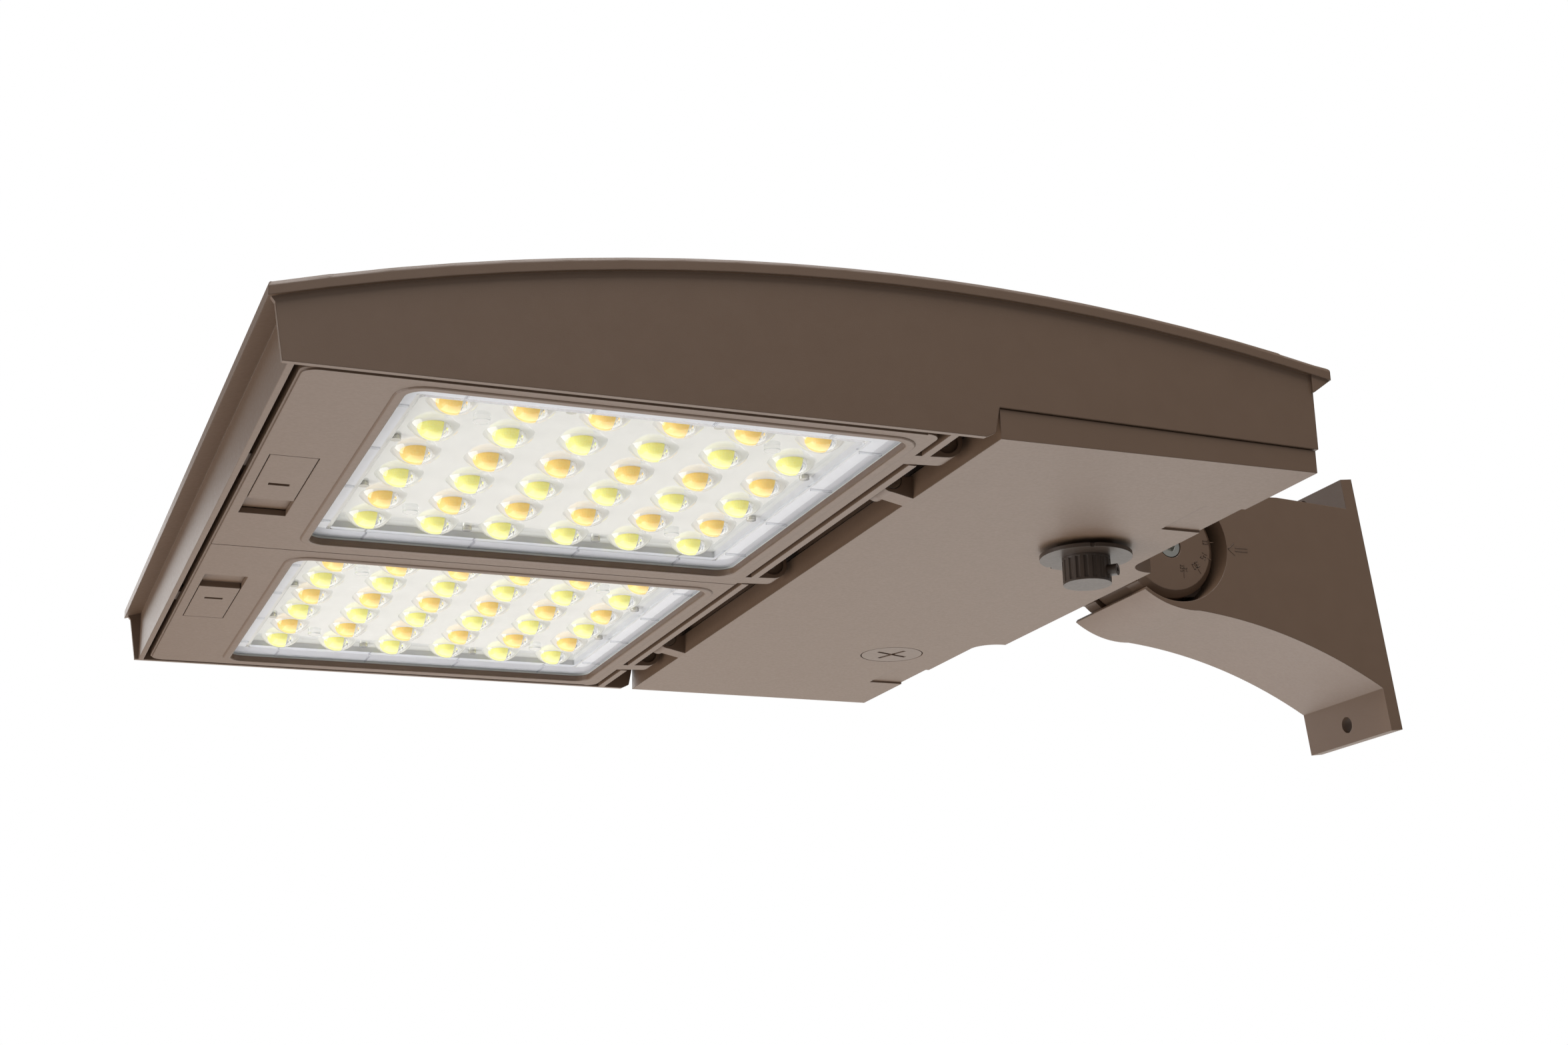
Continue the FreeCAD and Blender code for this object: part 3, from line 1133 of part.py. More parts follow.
def pivot_washer():
    x, z = PIVOT_IN_HEAD_X, PIVOT_IN_HEAD_Z
    y1 = -EAR_OUTER_Y + PIVOT_RECESS
    ring = rod_y(PIVOT_HEAD_RADIUS, x, y1 - PIVOT_WASHER, y1, z)
    return ring.cut(rod_y(PIVOT_BOLT_RADIUS + FIXED_CLEARANCE, x, y1 - PIVOT_WASHER - 1, y1 + 1, z))


def pivot_nut():
    x, z = PIVOT_IN_HEAD_X, PIVOT_IN_HEAD_Z
    y0 = EAR_OUTER_Y - PIVOT_RECESS
    bore = rod_y(PIVOT_BOLT_RADIUS + FIXED_CLEARANCE, x, y0 - 1, y0 + NUT_HEIGHT + 1, z)
    return hex_y(NUT_FLATS, x, y0, y0 + NUT_HEIGHT, z).cut(bore)


def save(name, shape):
    shape.exportStep("parts/" + name + ".step")
    print(name, len(shape.Solids), "valid" if shape.isValid() else "INVALID", round(shape.Volume / 1000, 2), "cm3")


def main():
    os.makedirs("parts", exist_ok=True)
    head_parts = {
        "housing": housing(),
        "pivot_bolt": pivot_bolt(),
        "pivot_washer": pivot_washer(),
        "pivot_nut": pivot_nut(),
        "light_frame": light_frame(),
        "frame_hinge_pins": frame_hinge_pins(),
        "spreader_screws": spreader_screws(),
        "rear_door": rear_door(),
        "door_gasket": door_gasket(),
        "door_clips": door_clips(),
        "door_hinge_screws": door_hinge_screws(),
        "receptacle_base": receptacle_base(),
        "receptacle_nut": receptacle_nut(),
        "receptacle_ring": receptacle_ring(),
        "receptacle_cap": receptacle_cap(),
        "cap_pin": cap_pin(),
        "blanking_plug": blanking_plug(),
        "driver_bracket": driver_bracket(),
        "driver": driver(),
        "gear_screws": gear_screws(),
        "surge_protector": surge_protector(),
        "terminal_block": terminal_block(),
        "selector_switch": selector_switch(),
        "cable_gland": cable_gland(),
        "earth_screw": earth_screw(),
    }
    optic_parts = {
        "lens_gasket": lens_gasket(),
        "lens_plate": lens_plate(),
        "led_board": led_board(),
        "lens_screws": lens_screws(),
        "heat_spreader": heat_spreader(),
        "slide_latch": latch(),
    }
    for name, shape in optic_parts.items():
        head_parts[name + "_near"] = shape
        head_parts[name + "_far"] = mirrored(shape)
    head_parts["led_chips_warm_near"] = led_chips(0)
    head_parts["led_chips_cool_near"] = led_chips(1)
    head_parts["led_chips_warm_far"] = mirrored(led_chips(1))
    head_parts["led_chips_cool_far"] = mirrored(led_chips(0))
    for name, shape in head_parts.items():
        save(name, tilted(shape))
    save("pole_arm", from_pivot(arm()))


main()
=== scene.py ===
import json
import math

import bmesh
import bpy
from mathutils import Matrix, Vector


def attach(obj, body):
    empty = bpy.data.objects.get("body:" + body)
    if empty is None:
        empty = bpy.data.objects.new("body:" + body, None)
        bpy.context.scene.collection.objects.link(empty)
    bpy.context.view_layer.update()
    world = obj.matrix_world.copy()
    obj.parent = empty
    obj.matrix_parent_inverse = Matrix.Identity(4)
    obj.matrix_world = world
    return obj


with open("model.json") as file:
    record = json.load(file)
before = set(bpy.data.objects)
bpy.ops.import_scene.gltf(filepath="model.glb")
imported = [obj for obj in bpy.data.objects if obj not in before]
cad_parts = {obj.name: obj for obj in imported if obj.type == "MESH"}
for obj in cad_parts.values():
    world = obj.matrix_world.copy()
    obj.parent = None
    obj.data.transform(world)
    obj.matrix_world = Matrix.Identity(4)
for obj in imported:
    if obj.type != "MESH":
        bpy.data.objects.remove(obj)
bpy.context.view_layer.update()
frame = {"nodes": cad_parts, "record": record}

nodes = frame["nodes"]

MM = 0.001
TILT = math.radians(7.0)                            # the head's rise in the stored pose
PIVOT = Vector((-135.5, 0.0, 40.5)) * MM            # knuckle's bolt, in the frame's own axes
PIVOT_IN_HEAD = Vector((480.0, 0.0, 34.5)) * MM     # the same point, seen from the level head
HEAD = Matrix.Translation(PIVOT) @ Matrix.Rotation(TILT, 4, "Y") @ Matrix.Translation(-PIVOT_IN_HEAD)


# ---- colours and shader helpers ----

def colour(text):
    """sRGB hex text as a linear colour."""
    parts = [int(text[i:i + 2], 16) / 255 for i in (0, 2, 4)]
    linear = [c / 12.92 if c <= 0.04045 else ((c + 0.055) / 1.055) ** 2.4 for c in parts]
    return (*linear, 1.0)


def add(tree, kind, **values):
    """New shader node; each value sets or feeds the socket of that name, or else the node's own setting."""
    made = tree.nodes.new(kind)
    for key, value in values.items():
        name = key.replace("_", " ")
        if name in made.inputs:
            socket = made.inputs[name]
            if isinstance(value, bpy.types.NodeSocket):
                tree.links.new(value, socket)
            else:
                socket.default_value = value
        else:
            setattr(made, key, value)
    return made


def new_material(name):
    material = bpy.data.materials.new(name)
    material.use_nodes = True
    tree = material.node_tree
    tree.nodes.clear()
    output = tree.nodes.new("ShaderNodeOutputMaterial")
    return material, tree, output


NOISE_RANGE = (0.3, 0.7)    # where nearly all of a noise's values lie


def object_noise(tree, size_mm, detail=2.0, roughness=0.5):
    """Noise whose grains are about size_mm across, in object space."""
    place = add(tree, "ShaderNodeTexCoord")
    return add(tree, "ShaderNodeTexNoise", Vector=place.outputs["Object"], Scale=1000.0 / size_mm,
               Detail=detail, Roughness=roughness).outputs["Fac"]


def spread(tree, factor, low, high):
    """Noise factor stretched to the range low to high."""
    return add(tree, "ShaderNodeMapRange", Value=factor, From_Min=NOISE_RANGE[0], From_Max=NOISE_RANGE[1],
               To_Min=low, To_Max=high).outputs["Result"]


def blend_colours(tree, factor, first, second):
    mix = add(tree, "ShaderNodeMix", data_type="RGBA")
    tree.links.new(factor, mix.inputs[0])
    mix.inputs[6].default_value = colour(first)
    mix.inputs[7].default_value = colour(second)
    return mix.outputs[2]


# Slow colour patches and finer gloss patches of every coat.
PATCH_MM = 14.0
GLOSS_MM = 2.0
GLOSS_SPREAD = 0.03


def coated(name, dark, light, rough, grain_mm, grain_depth, round_mm=0.0, metallic=0.0):
    """Surface with slight colour and gloss variation and a fine grain; edges worn round by round_mm."""
    material, tree, output = new_material(name)
    patch = object_noise(tree, PATCH_MM, 3.0)
    base = blend_colours(tree, spread(tree, patch, 0.0, 1.0), dark, light)
    gloss = spread(tree, object_noise(tree, GLOSS_MM), rough - GLOSS_SPREAD, rough + GLOSS_SPREAD)
    grain = object_noise(tree, grain_mm, 2.0, 0.6)
    bump = add(tree, "ShaderNodeBump", Height=grain, Distance=grain_depth * MM, Strength=1.0)
    if round_mm:
        edge = add(tree, "ShaderNodeBevel", Radius=round_mm * MM, samples=4)
        tree.links.new(edge.outputs["Normal"], bump.inputs["Normal"])
    surface = add(tree, "ShaderNodeBsdfPrincipled", Base_Color=base, Roughness=gloss,
                  Normal=bump.outputs["Normal"], Metallic=metallic)
    tree.links.new(surface.outputs[0], output.inputs["Surface"])
    return material


# Die-cast aluminium with a polyester powder coat: dark bronze, satin, with a fine pebble grain.
bronze = coated("bronze_powder_coat", "614C3C", "634E3E", 0.42, 0.6, 0.03, round_mm=0.7)
# Moulded weatherproof nylon: nearly black bronze with a soft sheen.
dark_plastic = coated("dark_nylon", "3A2F28", "40352D", 0.36, 0.5, 0.02, round_mm=0.4)
# Moulded bronze nylon plug: close to the casting's colour, a little smoother.
bronze_plastic = coated("bronze_nylon", "614F42", "655346", 0.4, 0.5, 0.02, round_mm=0.3)
# Zinc plated steel, rolled and turned: grey metal with soft highlights.
zinc = coated("zinc_plated_steel", "A9A9A4", "B8B7B0", 0.34, 0.3, 0.01, round_mm=0.15, metallic=1.0)
# Green zinc finish on the steel earth screw: the colour that marks the earth point.
green = coated("green_zinc_screw", "2E7A43", "37894C", 0.38, 0.3, 0.01, round_mm=0.1, metallic=0.6)
# Bright nickel plated steel screws: small sharp glints.
nickel = coated("nickel_plated_steel", "C2C0BA", "CFCDC6", 0.22, 0.3, 0.006, round_mm=0.15, metallic=1.0)
# Rolled spring steel: darker metal with a long soft highlight.
spring = coated("spring_steel", "84868A", "94969A", 0.3, 0.4, 0.008, round_mm=0.1, metallic=1.0)
# Galvanized sheet steel: spangle in patches of about 5 mm.
galvanized = coated("galvanized_sheet", "8F9599", "A7ADB0", 0.42, 5.0, 0.01, round_mm=0.2, metallic=1.0)
# Moulded silicone gaskets: pale grey and nearly matt.
silicone = coated("grey_silicone", "B9B9B4", "C2C2BD", 0.55, 0.8, 0.02)
# White enamel on the steel driver case: smooth half gloss.
white_paint = coated("white_enamel", "D8D8D2", "E0E0DA", 0.4, 0.6, 0.015, round_mm=0.4)
# Moulded polycarbonate housings of the small devices: mid grey, satin.
grey_plastic = coated("grey_polycarbonate", "585B60", "61646A", 0.42, 0.6, 0.015, round_mm=0.4)
# Moulded polyamide terminal block: ivory, satin.
ivory_plastic = coated("ivory_polyamide", "D9D3BF", "E0DAC8", 0.45, 0.6, 0.015, round_mm=0.4)
# White solder mask on an aluminium-core board: even and slightly glossy.
solder_mask = coated("white_solder_mask", "F0EDEA", "F4F1EE", 0.4, 0.8, 0.006)
# Grey-white polyester film: what shows through the lens plate's clear border.
border_white = coated("grey_white_film", "D2D0D5", "D6D4D9", 0.5, 1.2, 0.006)
# White polyester film: what shows between the lenses.
field_white = coated("white_film", "D9D5D0", "DDD9D4", 0.5, 1.2, 0.006)
# Ribs of the lens plate's border: thin grey lines through the clear plastic.
rib_grey = coated("grey_rib", "A3A0A8", "A9A6AE", 0.5, 0.8, 0.006)
# Milled aluminium heat spreader: bright satin metal.
milled = coated("milled_aluminium", "C0C1C3", "CCCDCF", 0.36, 0.5, 0.01, metallic=1.0)


PHOSPHOR_PAINTED_GLOW = 0.18        # painted glow: the phosphor shines at its own colour, as though lit from within


def phosphor(name, middle, rim):
    """Phosphor in clear silicone: soft, slightly mottled, with a smooth wet-looking face and a painted
    glow.
    """
    material, tree, output = new_material(name)
    grain = object_noise(tree, 0.5, 3.0)
    base = blend_colours(tree, spread(tree, grain, 0.0, 1.0), middle, rim)
    # The emission paints a glow onto the phosphor, which is no lamp.
    surface = add(tree, "ShaderNodeBsdfPrincipled", Base_Color=base, Roughness=0.25, IOR=1.41,
                  Subsurface_Weight=0.2, Subsurface_Scale=0.0006, Emission_Color=base,
                  Emission_Strength=PHOSPHOR_PAINTED_GLOW)
    tree.links.new(surface.outputs[0], output.inputs["Surface"])
    return material


# Warm white and cool white LED phosphor under silicone: amber yellow and lemon yellow.
warm_phosphor = phosphor("warm_phosphor", "FFD068", "FFD983")
cool_phosphor = phosphor("cool_phosphor", "FFF582", "FFF89C")


def clear_acrylic():
    """Injection moulded optical acrylic; light rays towards lamps pass straight through the thin plate."""
    material, tree, output = new_material("clear_acrylic")
    ripple = object_noise(tree, 9.0, 1.0)
    bump = add(tree, "ShaderNodeBump", Height=ripple, Distance=0.01 * MM, Strength=1.0)
    gloss = spread(tree, object_noise(tree, 3.0), 0.06, 0.1)
    glass = add(tree, "ShaderNodeBsdfPrincipled", Base_Color=colour("E8EAEB"), Roughness=gloss,
                Normal=bump.outputs["Normal"], IOR=1.49, Transmission_Weight=1.0)
    through = add(tree, "ShaderNodeBsdfTransparent", Color=colour("F4F6F6"))
    path = add(tree, "ShaderNodeLightPath")
    either = add(tree, "ShaderNodeMath", operation="MAXIMUM")
    tree.links.new(path.outputs["Is Shadow Ray"], either.inputs[0])
    tree.links.new(path.outputs["Is Diffuse Ray"], either.inputs[1])
    mix = add(tree, "ShaderNodeMixShader")
    tree.links.new(either.outputs[0], mix.inputs[0])
    tree.links.new(glass.outputs[0], mix.inputs[1])
    tree.links.new(through.outputs[0], mix.inputs[2])
    tree.links.new(mix.outputs[0], output.inputs["Surface"])
    return material


acrylic = clear_acrylic()

LOOKS = {
    "bronze_powder_coat": bronze,
    "zinc_steel": zinc,
    "green_zinc_steel": green,
    "chromed_steel": nickel,
    "spring_steel": spring,
    "galvanized_steel": galvanized,
    "silicone_gasket": silicone,
    "dark_thermoplastic": dark_plastic,
    "bronze_thermoplastic": bronze_plastic,
    "white_driver_case": white_paint,
    "grey_thermoplastic": grey_plastic,
    "pale_thermoplastic": ivory_plastic,
    "clear_acrylic": acrylic,
    "white_board": solder_mask,
    "warm_phosphor": warm_phosphor,
    "cool_phosphor": cool_phosphor,
    "aluminium_plate": milled,
}


def dress_nodes():
    """Each CAD node takes the look of its material slot."""
    slots = {part["node"]: part["material_slot"] for part in frame["record"]["subparts"]}
    for name, piece in nodes.items():
        piece.data.materials.clear()
        piece.data.materials.append(LOOKS[slots[name]])


# ---- small pieces added to the CAD model ----

def add_piece(name, mesh_maker, material, body, *values):
    """One mesh that rides body; mesh_maker draws it in the head's own frame, in mm."""
    mesh = bmesh.new()
    mesh_maker(mesh, *values)
    mesh.transform(HEAD @ Matrix.Scale(MM, 4))
    bmesh.ops.recalc_face_normals(mesh, faces=mesh.faces[:])
    data = bpy.data.meshes.new(name)
    mesh.to_mesh(data)
    mesh.free()
    data.materials.append(material)
    piece = bpy.data.objects.new(name, data)
    bpy.context.scene.collection.objects.link(piece)
    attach(piece, body)


def box_between(mesh, low, high):
    """Box between two opposite corners."""
    size = Vector(high) - Vector(low)
    middle = (Vector(high) + Vector(low)) / 2
    place = Matrix.Translation(middle) @ Matrix.Diagonal((*size, 1.0))
    bmesh.ops.create_cube(mesh, size=1.0, matrix=place)


def ring(mesh, outer, inner, z0, z1):
    """Flat frame between two rectangles (x0, x1, y0, y1)."""
    loops = []
    for x0, x1, y0, y1 in (outer, inner):
        for z in (z0, z1):
            loops.append([mesh.verts.new((x, y, z)) for x, y in ((x0, y0), (x1, y0), (x1, y1), (x0, y1))])
    for first, second in ((0, 1), (2, 3), (0, 2), (1, 3)):
        for k in range(4):
            n = (k + 1) % 4
            mesh.faces.new((loops[first][k], loops[first][n], loops[second][n], loops[second][k]))


# Windows and boards as x0, x1 and, outwards from the middle seam, y0, y1; head's own frame, mm.
WINDOW = (-26.5, 206.0, 16.0, 260.0)
BOARD = (-16.5, 191.5, 31.4, 239.4)
SIDES = (("near", -1), ("far", 1))

BORDER_TOP = 6.2            # upper face of the lens plate's border
BORDER_SINK = 0.3           # film's face, moulded into the border's upper face
BORDER_REACH = 4.0          # film beyond the window, hidden by the frame
STEP = 2.8                  # just inside the raised field's wall, outside the board
STEP_WALL = 0.6             # film on that wall
FIELD_FILM = (10.5, 10.75)
FILM_BACK = 0.2             # film above the border's upper face

RIB_SPOTS = (-3, -1, 1, 3)
RIB_SHARE = (0.275, 0.2925) # of half the board, along x and y
RIB_HALF = 0.45
RIB_PROUD = 0.15

WINDOW_CORNER = 9.0
CORNER_STEPS = 6
# Rim's section: how far outside the window, and height over the frame's lower face.
BEZEL_PROFILE = ((5.0, 0.3), (5.0, -0.1), (4.2, -0.7), (1.2, -0.8), (0.3, -0.5), (0.1, 0.3))

LATCH_X = (-68.5, -44.5)
LATCH_POCKET_Y = (58.0, 88.0)
LATCH_FLOOR_Z = (5.6, 6.2)

LENS_EDGE = (16.5, 12.0)    # outer lenses' middles, from the board's edge
LENS_COUNT = 6
WARM_ROW = 0                # rows of warm chips start here, cool rows in between
COOL_ROW = 1
DOME_MIDDLE_Z = 10.9
DOME_RADIUS = 6.05          # fills the hollow in each lens
DOME_CUT = 2.6              # flat side of each dome, towards the pole
DOME_SEGMENTS = 28
DOME_RINGS = 16


def signed_range(sign, low, high):
    """The range on the near or far side of the middle, low end first."""
    return tuple(sorted((sign * low, sign * high)))


def border_film(mesh, sign):
    """Film behind the clear border and round the raised field's wall."""
    x0, x1, y0, y1 = WINDOW
    bx0, bx1, by0, by1 = BOARD
    reach = BORDER_REACH
    outer = (x0 - reach, x1 + reach, *signed_range(sign, y0 - reach, y1 + reach))
    wall = (bx0 - STEP, bx1 + STEP, *signed_range(sign, by0 - STEP, by1 + STEP))
    grown = (wall[0] - STEP_WALL, wall[1] + STEP_WALL, wall[2] - STEP_WALL, wall[3] + STEP_WALL)
    ring(mesh, outer, grown, BORDER_TOP - BORDER_SINK, BORDER_TOP + FILM_BACK)
    ring(mesh, grown, wall, BORDER_TOP - BORDER_SINK, FIELD_FILM[1])


def field_film(mesh, sign):
    """White film in contact with the raised field, behind the lenses."""
    bx0, bx1, by0, by1 = BOARD
    y0, y1 = signed_range(sign, by0 - STEP, by1 + STEP)
    box_between(mesh, (bx0 - STEP, y0, FIELD_FILM[0]), (bx1 + STEP, y1, FIELD_FILM[1]))


def border_ribs(mesh, sign):
    """Thin ribs across the border, four along each side."""
    x0, x1, y0, y1 = WINDOW
    bx0, bx1, by0, by1 = BOARD
    z0, z1 = BORDER_TOP - BORDER_SINK - RIB_PROUD, BORDER_TOP - BORDER_SINK
    for k in RIB_SPOTS:
        x = (bx0 + bx1) / 2 + k * RIB_SHARE[0] * (bx1 - bx0) / 2
        y = (by0 + by1) / 2 + k * RIB_SHARE[1] * (by1 - by0) / 2
        for low, high in ((y0, by0 - STEP), (by1 + STEP, y1)):
            a, b = signed_range(sign, low, high)
            box_between(mesh, (x - RIB_HALF, a, z0), (x + RIB_HALF, b, z1))
        a, b = signed_range(sign, y - RIB_HALF, y + RIB_HALF)
        box_between(mesh, (x0, a, z0), (bx0 - STEP, b, z1))
        box_between(mesh, (bx1 + STEP, a, z0), (x1, b, z1))


def rounded_loop(rectangle, grow, z):
    """Points round a rectangle grown by grow, with round corners."""
    x0, x1, y0, y1 = rectangle
    points = []
    for corner, (x, y) in enumerate(((x1, y1), (x0, y1), (x0, y0), (x1, y0))):
        middle_x = x - WINDOW_CORNER if x == x1 else x + WINDOW_CORNER
        middle_y = y - WINDOW_CORNER if y == y1 else y + WINDOW_CORNER
        for k in range(CORNER_STEPS + 1):
            turn = math.radians(90 * corner + 90 * k / CORNER_STEPS)
            reach = WINDOW_CORNER + grow
            points.append((middle_x + reach * math.cos(turn), middle_y + reach * math.sin(turn), z))
    return points


def window_bezel(mesh, sign):
    """Low rounded rim round each window, on the frame's lower face."""
    x0, x1, y0, y1 = WINDOW
    rectangle = (x0, x1, *signed_range(sign, y0, y1))
    loops = []
    for grow, z in BEZEL_PROFILE:
        loops.append([mesh.verts.new(point) for point in rounded_loop(rectangle, grow, z)])
    for first, second in zip(loops, loops[1:] + loops[:1]):
        for k in range(len(first)):
            n = (k + 1) % len(first)
            mesh.faces.new((first[k], first[n], second[n], second[k]))


def latch_floor(mesh, sign):
    """Floor over each latch's finger pocket, above the sliding flange."""
    y0, y1 = signed_range(sign, *LATCH_POCKET_Y)
    box_between(mesh, (LATCH_X[0], y0, LATCH_FLOOR_Z[0]), (LATCH_X[1], y1, LATCH_FLOOR_Z[1]))


def dome_places(sign, first_row):
    """Every second row of lenses, from first_row."""
    x0, x1, y0, y1 = BOARD
    step_x = (x1 - x0 - 2 * LENS_EDGE[0]) / (LENS_COUNT - 1)
    step_y = (y1 - y0 - 2 * LENS_EDGE[1]) / (LENS_COUNT - 1)
    low_y = min(sign * y0, sign * y1)
    return [(x0 + LENS_EDGE[0] + i * step_x, low_y + LENS_EDGE[1] + k * step_y)
            for i in range(LENS_COUNT) for k in range(first_row, LENS_COUNT, 2)]


def phosphor_dome(x, y):
    """Silicone dome with phosphor over one chip, cut flat on its pole side."""
    dome = bmesh.new()
    bmesh.ops.create_uvsphere(dome, u_segments=DOME_SEGMENTS, v_segments=DOME_RINGS, radius=DOME_RADIUS)
    for point, normal in (((0, 0, 0), (0, 0, 1)), ((DOME_CUT, 0, 0), (1, 0, 0))):
        cut = bmesh.ops.bisect_plane(dome, geom=dome.verts[:] + dome.edges[:] + dome.faces[:],
                                     plane_co=point, plane_no=normal, clear_outer=True)
        edges = [e for e in cut["geom_cut"] if isinstance(e, bmesh.types.BMEdge)]
        bmesh.ops.holes_fill(dome, edges=edges, sides=0)
    bmesh.ops.translate(dome, vec=(x, y, DOME_MIDDLE_Z), verts=dome.verts)
    return dome


def phosphor_domes(mesh, sign, first_row):
    for x, y in dome_places(sign, first_row):
        dome = phosphor_dome(x, y)
        whole = bpy.data.meshes.new("dome")
        dome.to_mesh(whole)
        dome.free()
        mesh.from_mesh(whole)
        bpy.data.meshes.remove(whole)


# Tilt scale on the knuckle's ear and the pointer on the arm, as x and z in the head's own frame, mm.
EAR_FACE_Y = -36.0
ARM_FACE_Y = -42.0
SCALE_MIDDLE = Vector((488.0, 38.0))
SCALE_RADIUS = 16.5         # of the numbers' middles
SCALE_TICKS = (19.3, 22.0)
SCALE_MARKS = (("0", 3.0), ("15", -27.0), ("30", -58.0), ("45", -90.0))
TICK_WIDTH = 0.4
STROKE_WIDTH = 0.45
STROKE_PROUD = 0.25
POINTER_TIP = Vector((516.3, 34.2))
POINTER_LINES = (((0.0, 0.0), (4.2, 3.6)), ((0.0, 0.0), (4.2, -3.6)),
                 ((5.0, 1.0), (13.2, 1.0)), ((5.0, -1.0), (13.2, -1.0)))

DIGIT_WIDTH = 1.7
DIGIT_HEIGHT = 3.2
DIGIT_PITCH = 1.5           # digits' spacing, in digit widths
# Each digit's line, with x from 0 to 1 and y from 0 at its foot to 2 at its top.
DIGIT_STROKES = {
    "0": ((0, 0), (1, 0), (1, 2), (0, 2), (0, 0)),
    "1": ((0.5, 0), (0.5, 2)),
    "3": ((0, 2), (1, 2), (1, 0), (0, 0)),
    "4": ((0, 2), (0, 1), (1, 1)),
    "5": ((1, 2), (0, 2), (0, 1), (1, 1), (1, 0), (0, 0)),
}
EXTRA_STROKES = {"3": ((0.2, 1), (1, 1)), "4": ((1, 2), (1, 0))}


def stroke(mesh, a, b, width, face_y):
    """Raised bar from a to b, points of an upright face."""
    run = b - a
    place = (Matrix.Translation(((a.x + b.x) / 2, face_y - STROKE_PROUD / 2, (a.y + b.y) / 2))
             @ Matrix.Rotation(-math.atan2(run.y, run.x), 4, "Y")
             @ Matrix.Diagonal((run.length + width, STROKE_PROUD, width, 1.0)))
    bmesh.ops.create_cube(mesh, size=1.0, matrix=place)


def number(mesh, text, middle, up):
    """Digits whose tops point along up."""
    right = Vector((up.y, -up.x))
    pitch = DIGIT_WIDTH * DIGIT_PITCH
    start = -(len(text) - 1) / 2 * pitch - DIGIT_WIDTH / 2
    for k, digit in enumerate(text):
        for line in (DIGIT_STROKES[digit], EXTRA_STROKES.get(digit, ())):
            left = start + k * pitch
            points = [middle + right * (left + x * DIGIT_WIDTH) + up * ((y - 1) * DIGIT_HEIGHT / 2)
                      for x, y in line]
            for a, b in zip(points, points[1:]):
                stroke(mesh, a, b, STROKE_WIDTH, EAR_FACE_Y)


def tilt_scale(mesh):
    """Numbers of degrees round the ear, with a tick outside each."""
    for text, degrees in SCALE_MARKS:
        turn = math.radians(degrees)
        out = Vector((math.cos(turn), math.sin(turn)))
        number(mesh, text, SCALE_MIDDLE + out * SCALE_RADIUS, out)
        start, end = (SCALE_MIDDLE + out * radius for radius in SCALE_TICKS)
        stroke(mesh, start, end, TICK_WIDTH, EAR_FACE_Y)


def pointer(mesh):
    """Arrow outline that points at the tilt scale."""
    for a, b in POINTER_LINES:
        stroke(mesh, POINTER_TIP + Vector(a), POINTER_TIP + Vector(b), STROKE_WIDTH, ARM_FACE_Y)


def add_details():
    """Everything that the light shows beyond its CAD model."""
    for side, sign in SIDES:
        add_piece("border_film_" + side, border_film, border_white, "light_frame", sign)
        add_piece("field_film_" + side, field_film, field_white, "light_frame", sign)
        add_piece("border_ribs_" + side, border_ribs, rib_grey, "light_frame", sign)
        add_piece("window_bezel_" + side, window_bezel, bronze, "light_frame", sign)
        add_piece("latch_floor_" + side, latch_floor, bronze, "light_frame", sign)
        add_piece("warm_domes_" + side, phosphor_domes, warm_phosphor, "light_frame", sign, WARM_ROW)
        add_piece("cool_domes_" + side, phosphor_domes, cool_phosphor, "light_frame", sign, COOL_ROW)
    add_piece("tilt_scale", tilt_scale, bronze, "head")
    add_piece("pointer", pointer, bronze, "arm")


# ---- stage, in metres ----

FLOOR_Z = -1.6
FLOOR_HALF = 6.0
SURROUND = 0.31             # strength of the surround as light
LIGHT_MIDDLE = (-0.35, 0.0, 0.0)

# Viewpoint in the head's own frame, worked out from the lens rows' places in the photograph.
CAMERA_PLACE = Vector((-0.21251, -1.13980, -0.32662))
CAMERA_RIGHT = Vector((0.929904, -0.367012, -0.024095))
CAMERA_DOWN = Vector((0.083300, 0.273960, -0.958127))
CAMERA_AHEAD = Vector((0.358246, 0.888959, 0.285328))
CAMERA_SENSOR_MM = 36.0
CAMERA_LENS_MM = 51.333


def stage():
    """Pale paper floor well below the light."""
    material, tree, output = new_material("pale_floor_paper")
    grain = object_noise(tree, 3.0)
    base = blend_colours(tree, spread(tree, grain, 0.0, 1.0), "E4E4E2", "E9E9E7")
    surface = add(tree, "ShaderNodeBsdfPrincipled", Base_Color=base, Roughness=0.8)
    tree.links.new(surface.outputs[0], output.inputs["Surface"])
    mesh = bmesh.new()
    bmesh.ops.create_grid(mesh, x_segments=1, y_segments=1, size=FLOOR_HALF)
    mesh.transform(Matrix.Translation((0, 0, FLOOR_Z)))
    data = bpy.data.meshes.new("floor")
    mesh.to_mesh(data)
    mesh.free()
    data.materials.append(material)
    floor = bpy.data.objects.new("floor", data)
    bpy.context.scene.collection.objects.link(floor)


def lamp(name, place, target, size, watts, tint="FFFFFF"):
    """Soft rectangular lamp that faces target and isn't itself seen."""
    data = bpy.data.lights.new(name, "AREA")
    data.shape = "RECTANGLE"
    data.size, data.size_y = size
    data.energy = watts
    data.color = colour(tint)[:3]
    lamp_object = bpy.data.objects.new(name, data)
    lamp_object.location = place
    lamp_object.rotation_mode = "QUATERNION"
    lamp_object.rotation_quaternion = (Vector(target) - Vector(place)).to_track_quat("-Z", "Y")
    lamp_object.visible_camera = False
    bpy.context.scene.collection.objects.link(lamp_object)


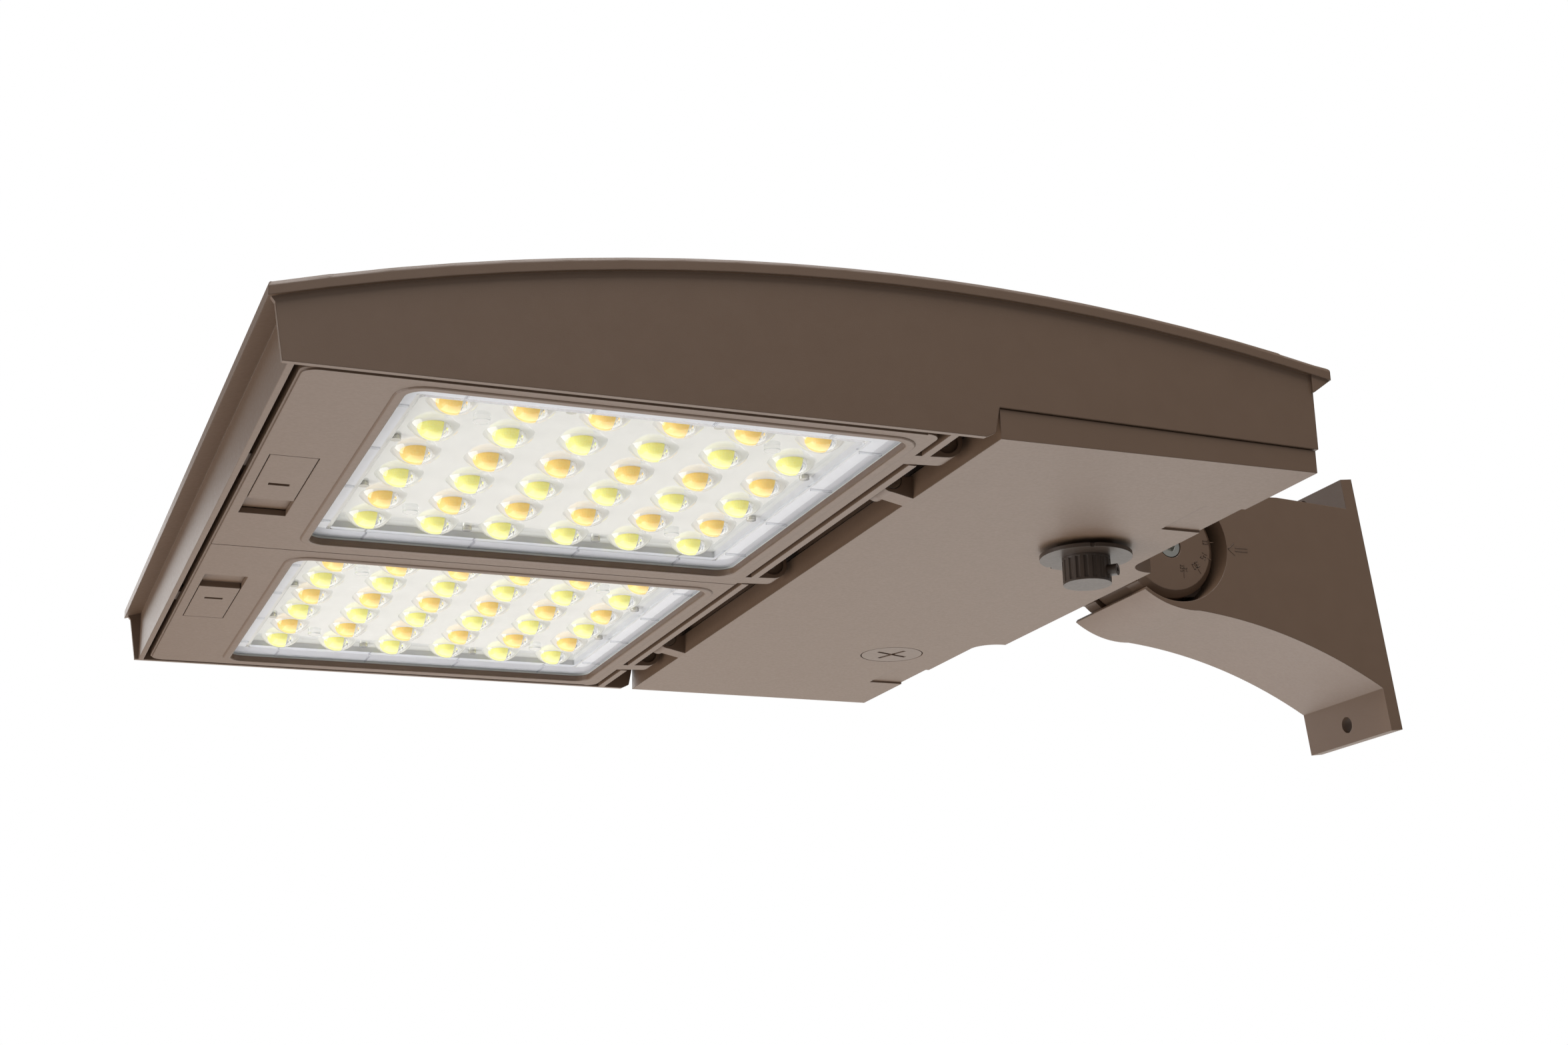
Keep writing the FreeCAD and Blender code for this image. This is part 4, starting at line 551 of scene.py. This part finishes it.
def background():
    """White behind the object; a moderate grey surround as light."""
    world = bpy.data.worlds.new("surround")
    world.use_nodes = True
    bpy.context.scene.world = world
    tree = world.node_tree
    tree.nodes.clear()
    output = tree.nodes.new("ShaderNodeOutputWorld")
    white = add(tree, "ShaderNodeBackground", Color=(1.0, 1.0, 1.0, 1.0), Strength=1.0)
    soft = add(tree, "ShaderNodeBackground", Color=(1.0, 1.0, 1.0, 1.0), Strength=SURROUND)
    path = add(tree, "ShaderNodeLightPath")
    either = add(tree, "ShaderNodeMath", operation="MAXIMUM")
    tree.links.new(path.outputs["Is Camera Ray"], either.inputs[0])
    tree.links.new(path.outputs["Is Transmission Ray"], either.inputs[1])
    mix = add(tree, "ShaderNodeMixShader")
    tree.links.new(either.outputs[0], mix.inputs[0])
    tree.links.new(soft.outputs[0], mix.inputs[1])
    tree.links.new(white.outputs[0], mix.inputs[2])
    tree.links.new(mix.outputs[0], output.inputs["Surface"])


def camera():
    """The photograph's viewpoint: below the light and on its near side."""
    turn = Matrix.Rotation(TILT, 3, "Y")
    right, down, ahead = (turn @ axis for axis in (CAMERA_RIGHT, CAMERA_DOWN, CAMERA_AHEAD))
    axes = Matrix((right, -down, -ahead)).transposed()
    data = bpy.data.cameras.new("camera")
    data.sensor_width = CAMERA_SENSOR_MM
    data.lens = CAMERA_LENS_MM
    data.clip_start = 0.05
    data.clip_end = 30.0
    camera_object = bpy.data.objects.new("camera", data)
    camera_object.matrix_world = Matrix.Translation(HEAD @ CAMERA_PLACE) @ axes.to_4x4()
    bpy.context.scene.collection.objects.link(camera_object)
    bpy.context.scene.camera = camera_object


dress_nodes()
add_details()
stage()
background()
lamp("under_softbox", (-0.25, 0.7, -1.35), LIGHT_MIDDLE, size=(2.0, 1.6), watts=18.0)
lamp("front_softbox", (-2.0, 0.35, -0.6), (-0.6, 0.0, 0.05), size=(1.2, 1.2), watts=24.0)
lamp("far_softbox", (1.3, 3.7, -1.2), (-0.3, 0.0, 0.0), size=(3.4, 2.4), watts=15.0, tint="FFF6EA")
lamp("floor_softbox", (-0.35, 1.9, 0.4), (-0.35, 1.9, FLOOR_Z), size=(2.4, 2.0), watts=30.0)
lamp("sky_softbox", (-0.3, -0.8, 2.0), LIGHT_MIDDLE, size=(2.0, 2.0), watts=60.0)
lamp("viewer_softbox", (-0.9, -2.2, 0.3), LIGHT_MIDDLE, size=(1.6, 1.2), watts=3.0)
camera()
bpy.context.scene.view_settings.view_transform = "Standard"
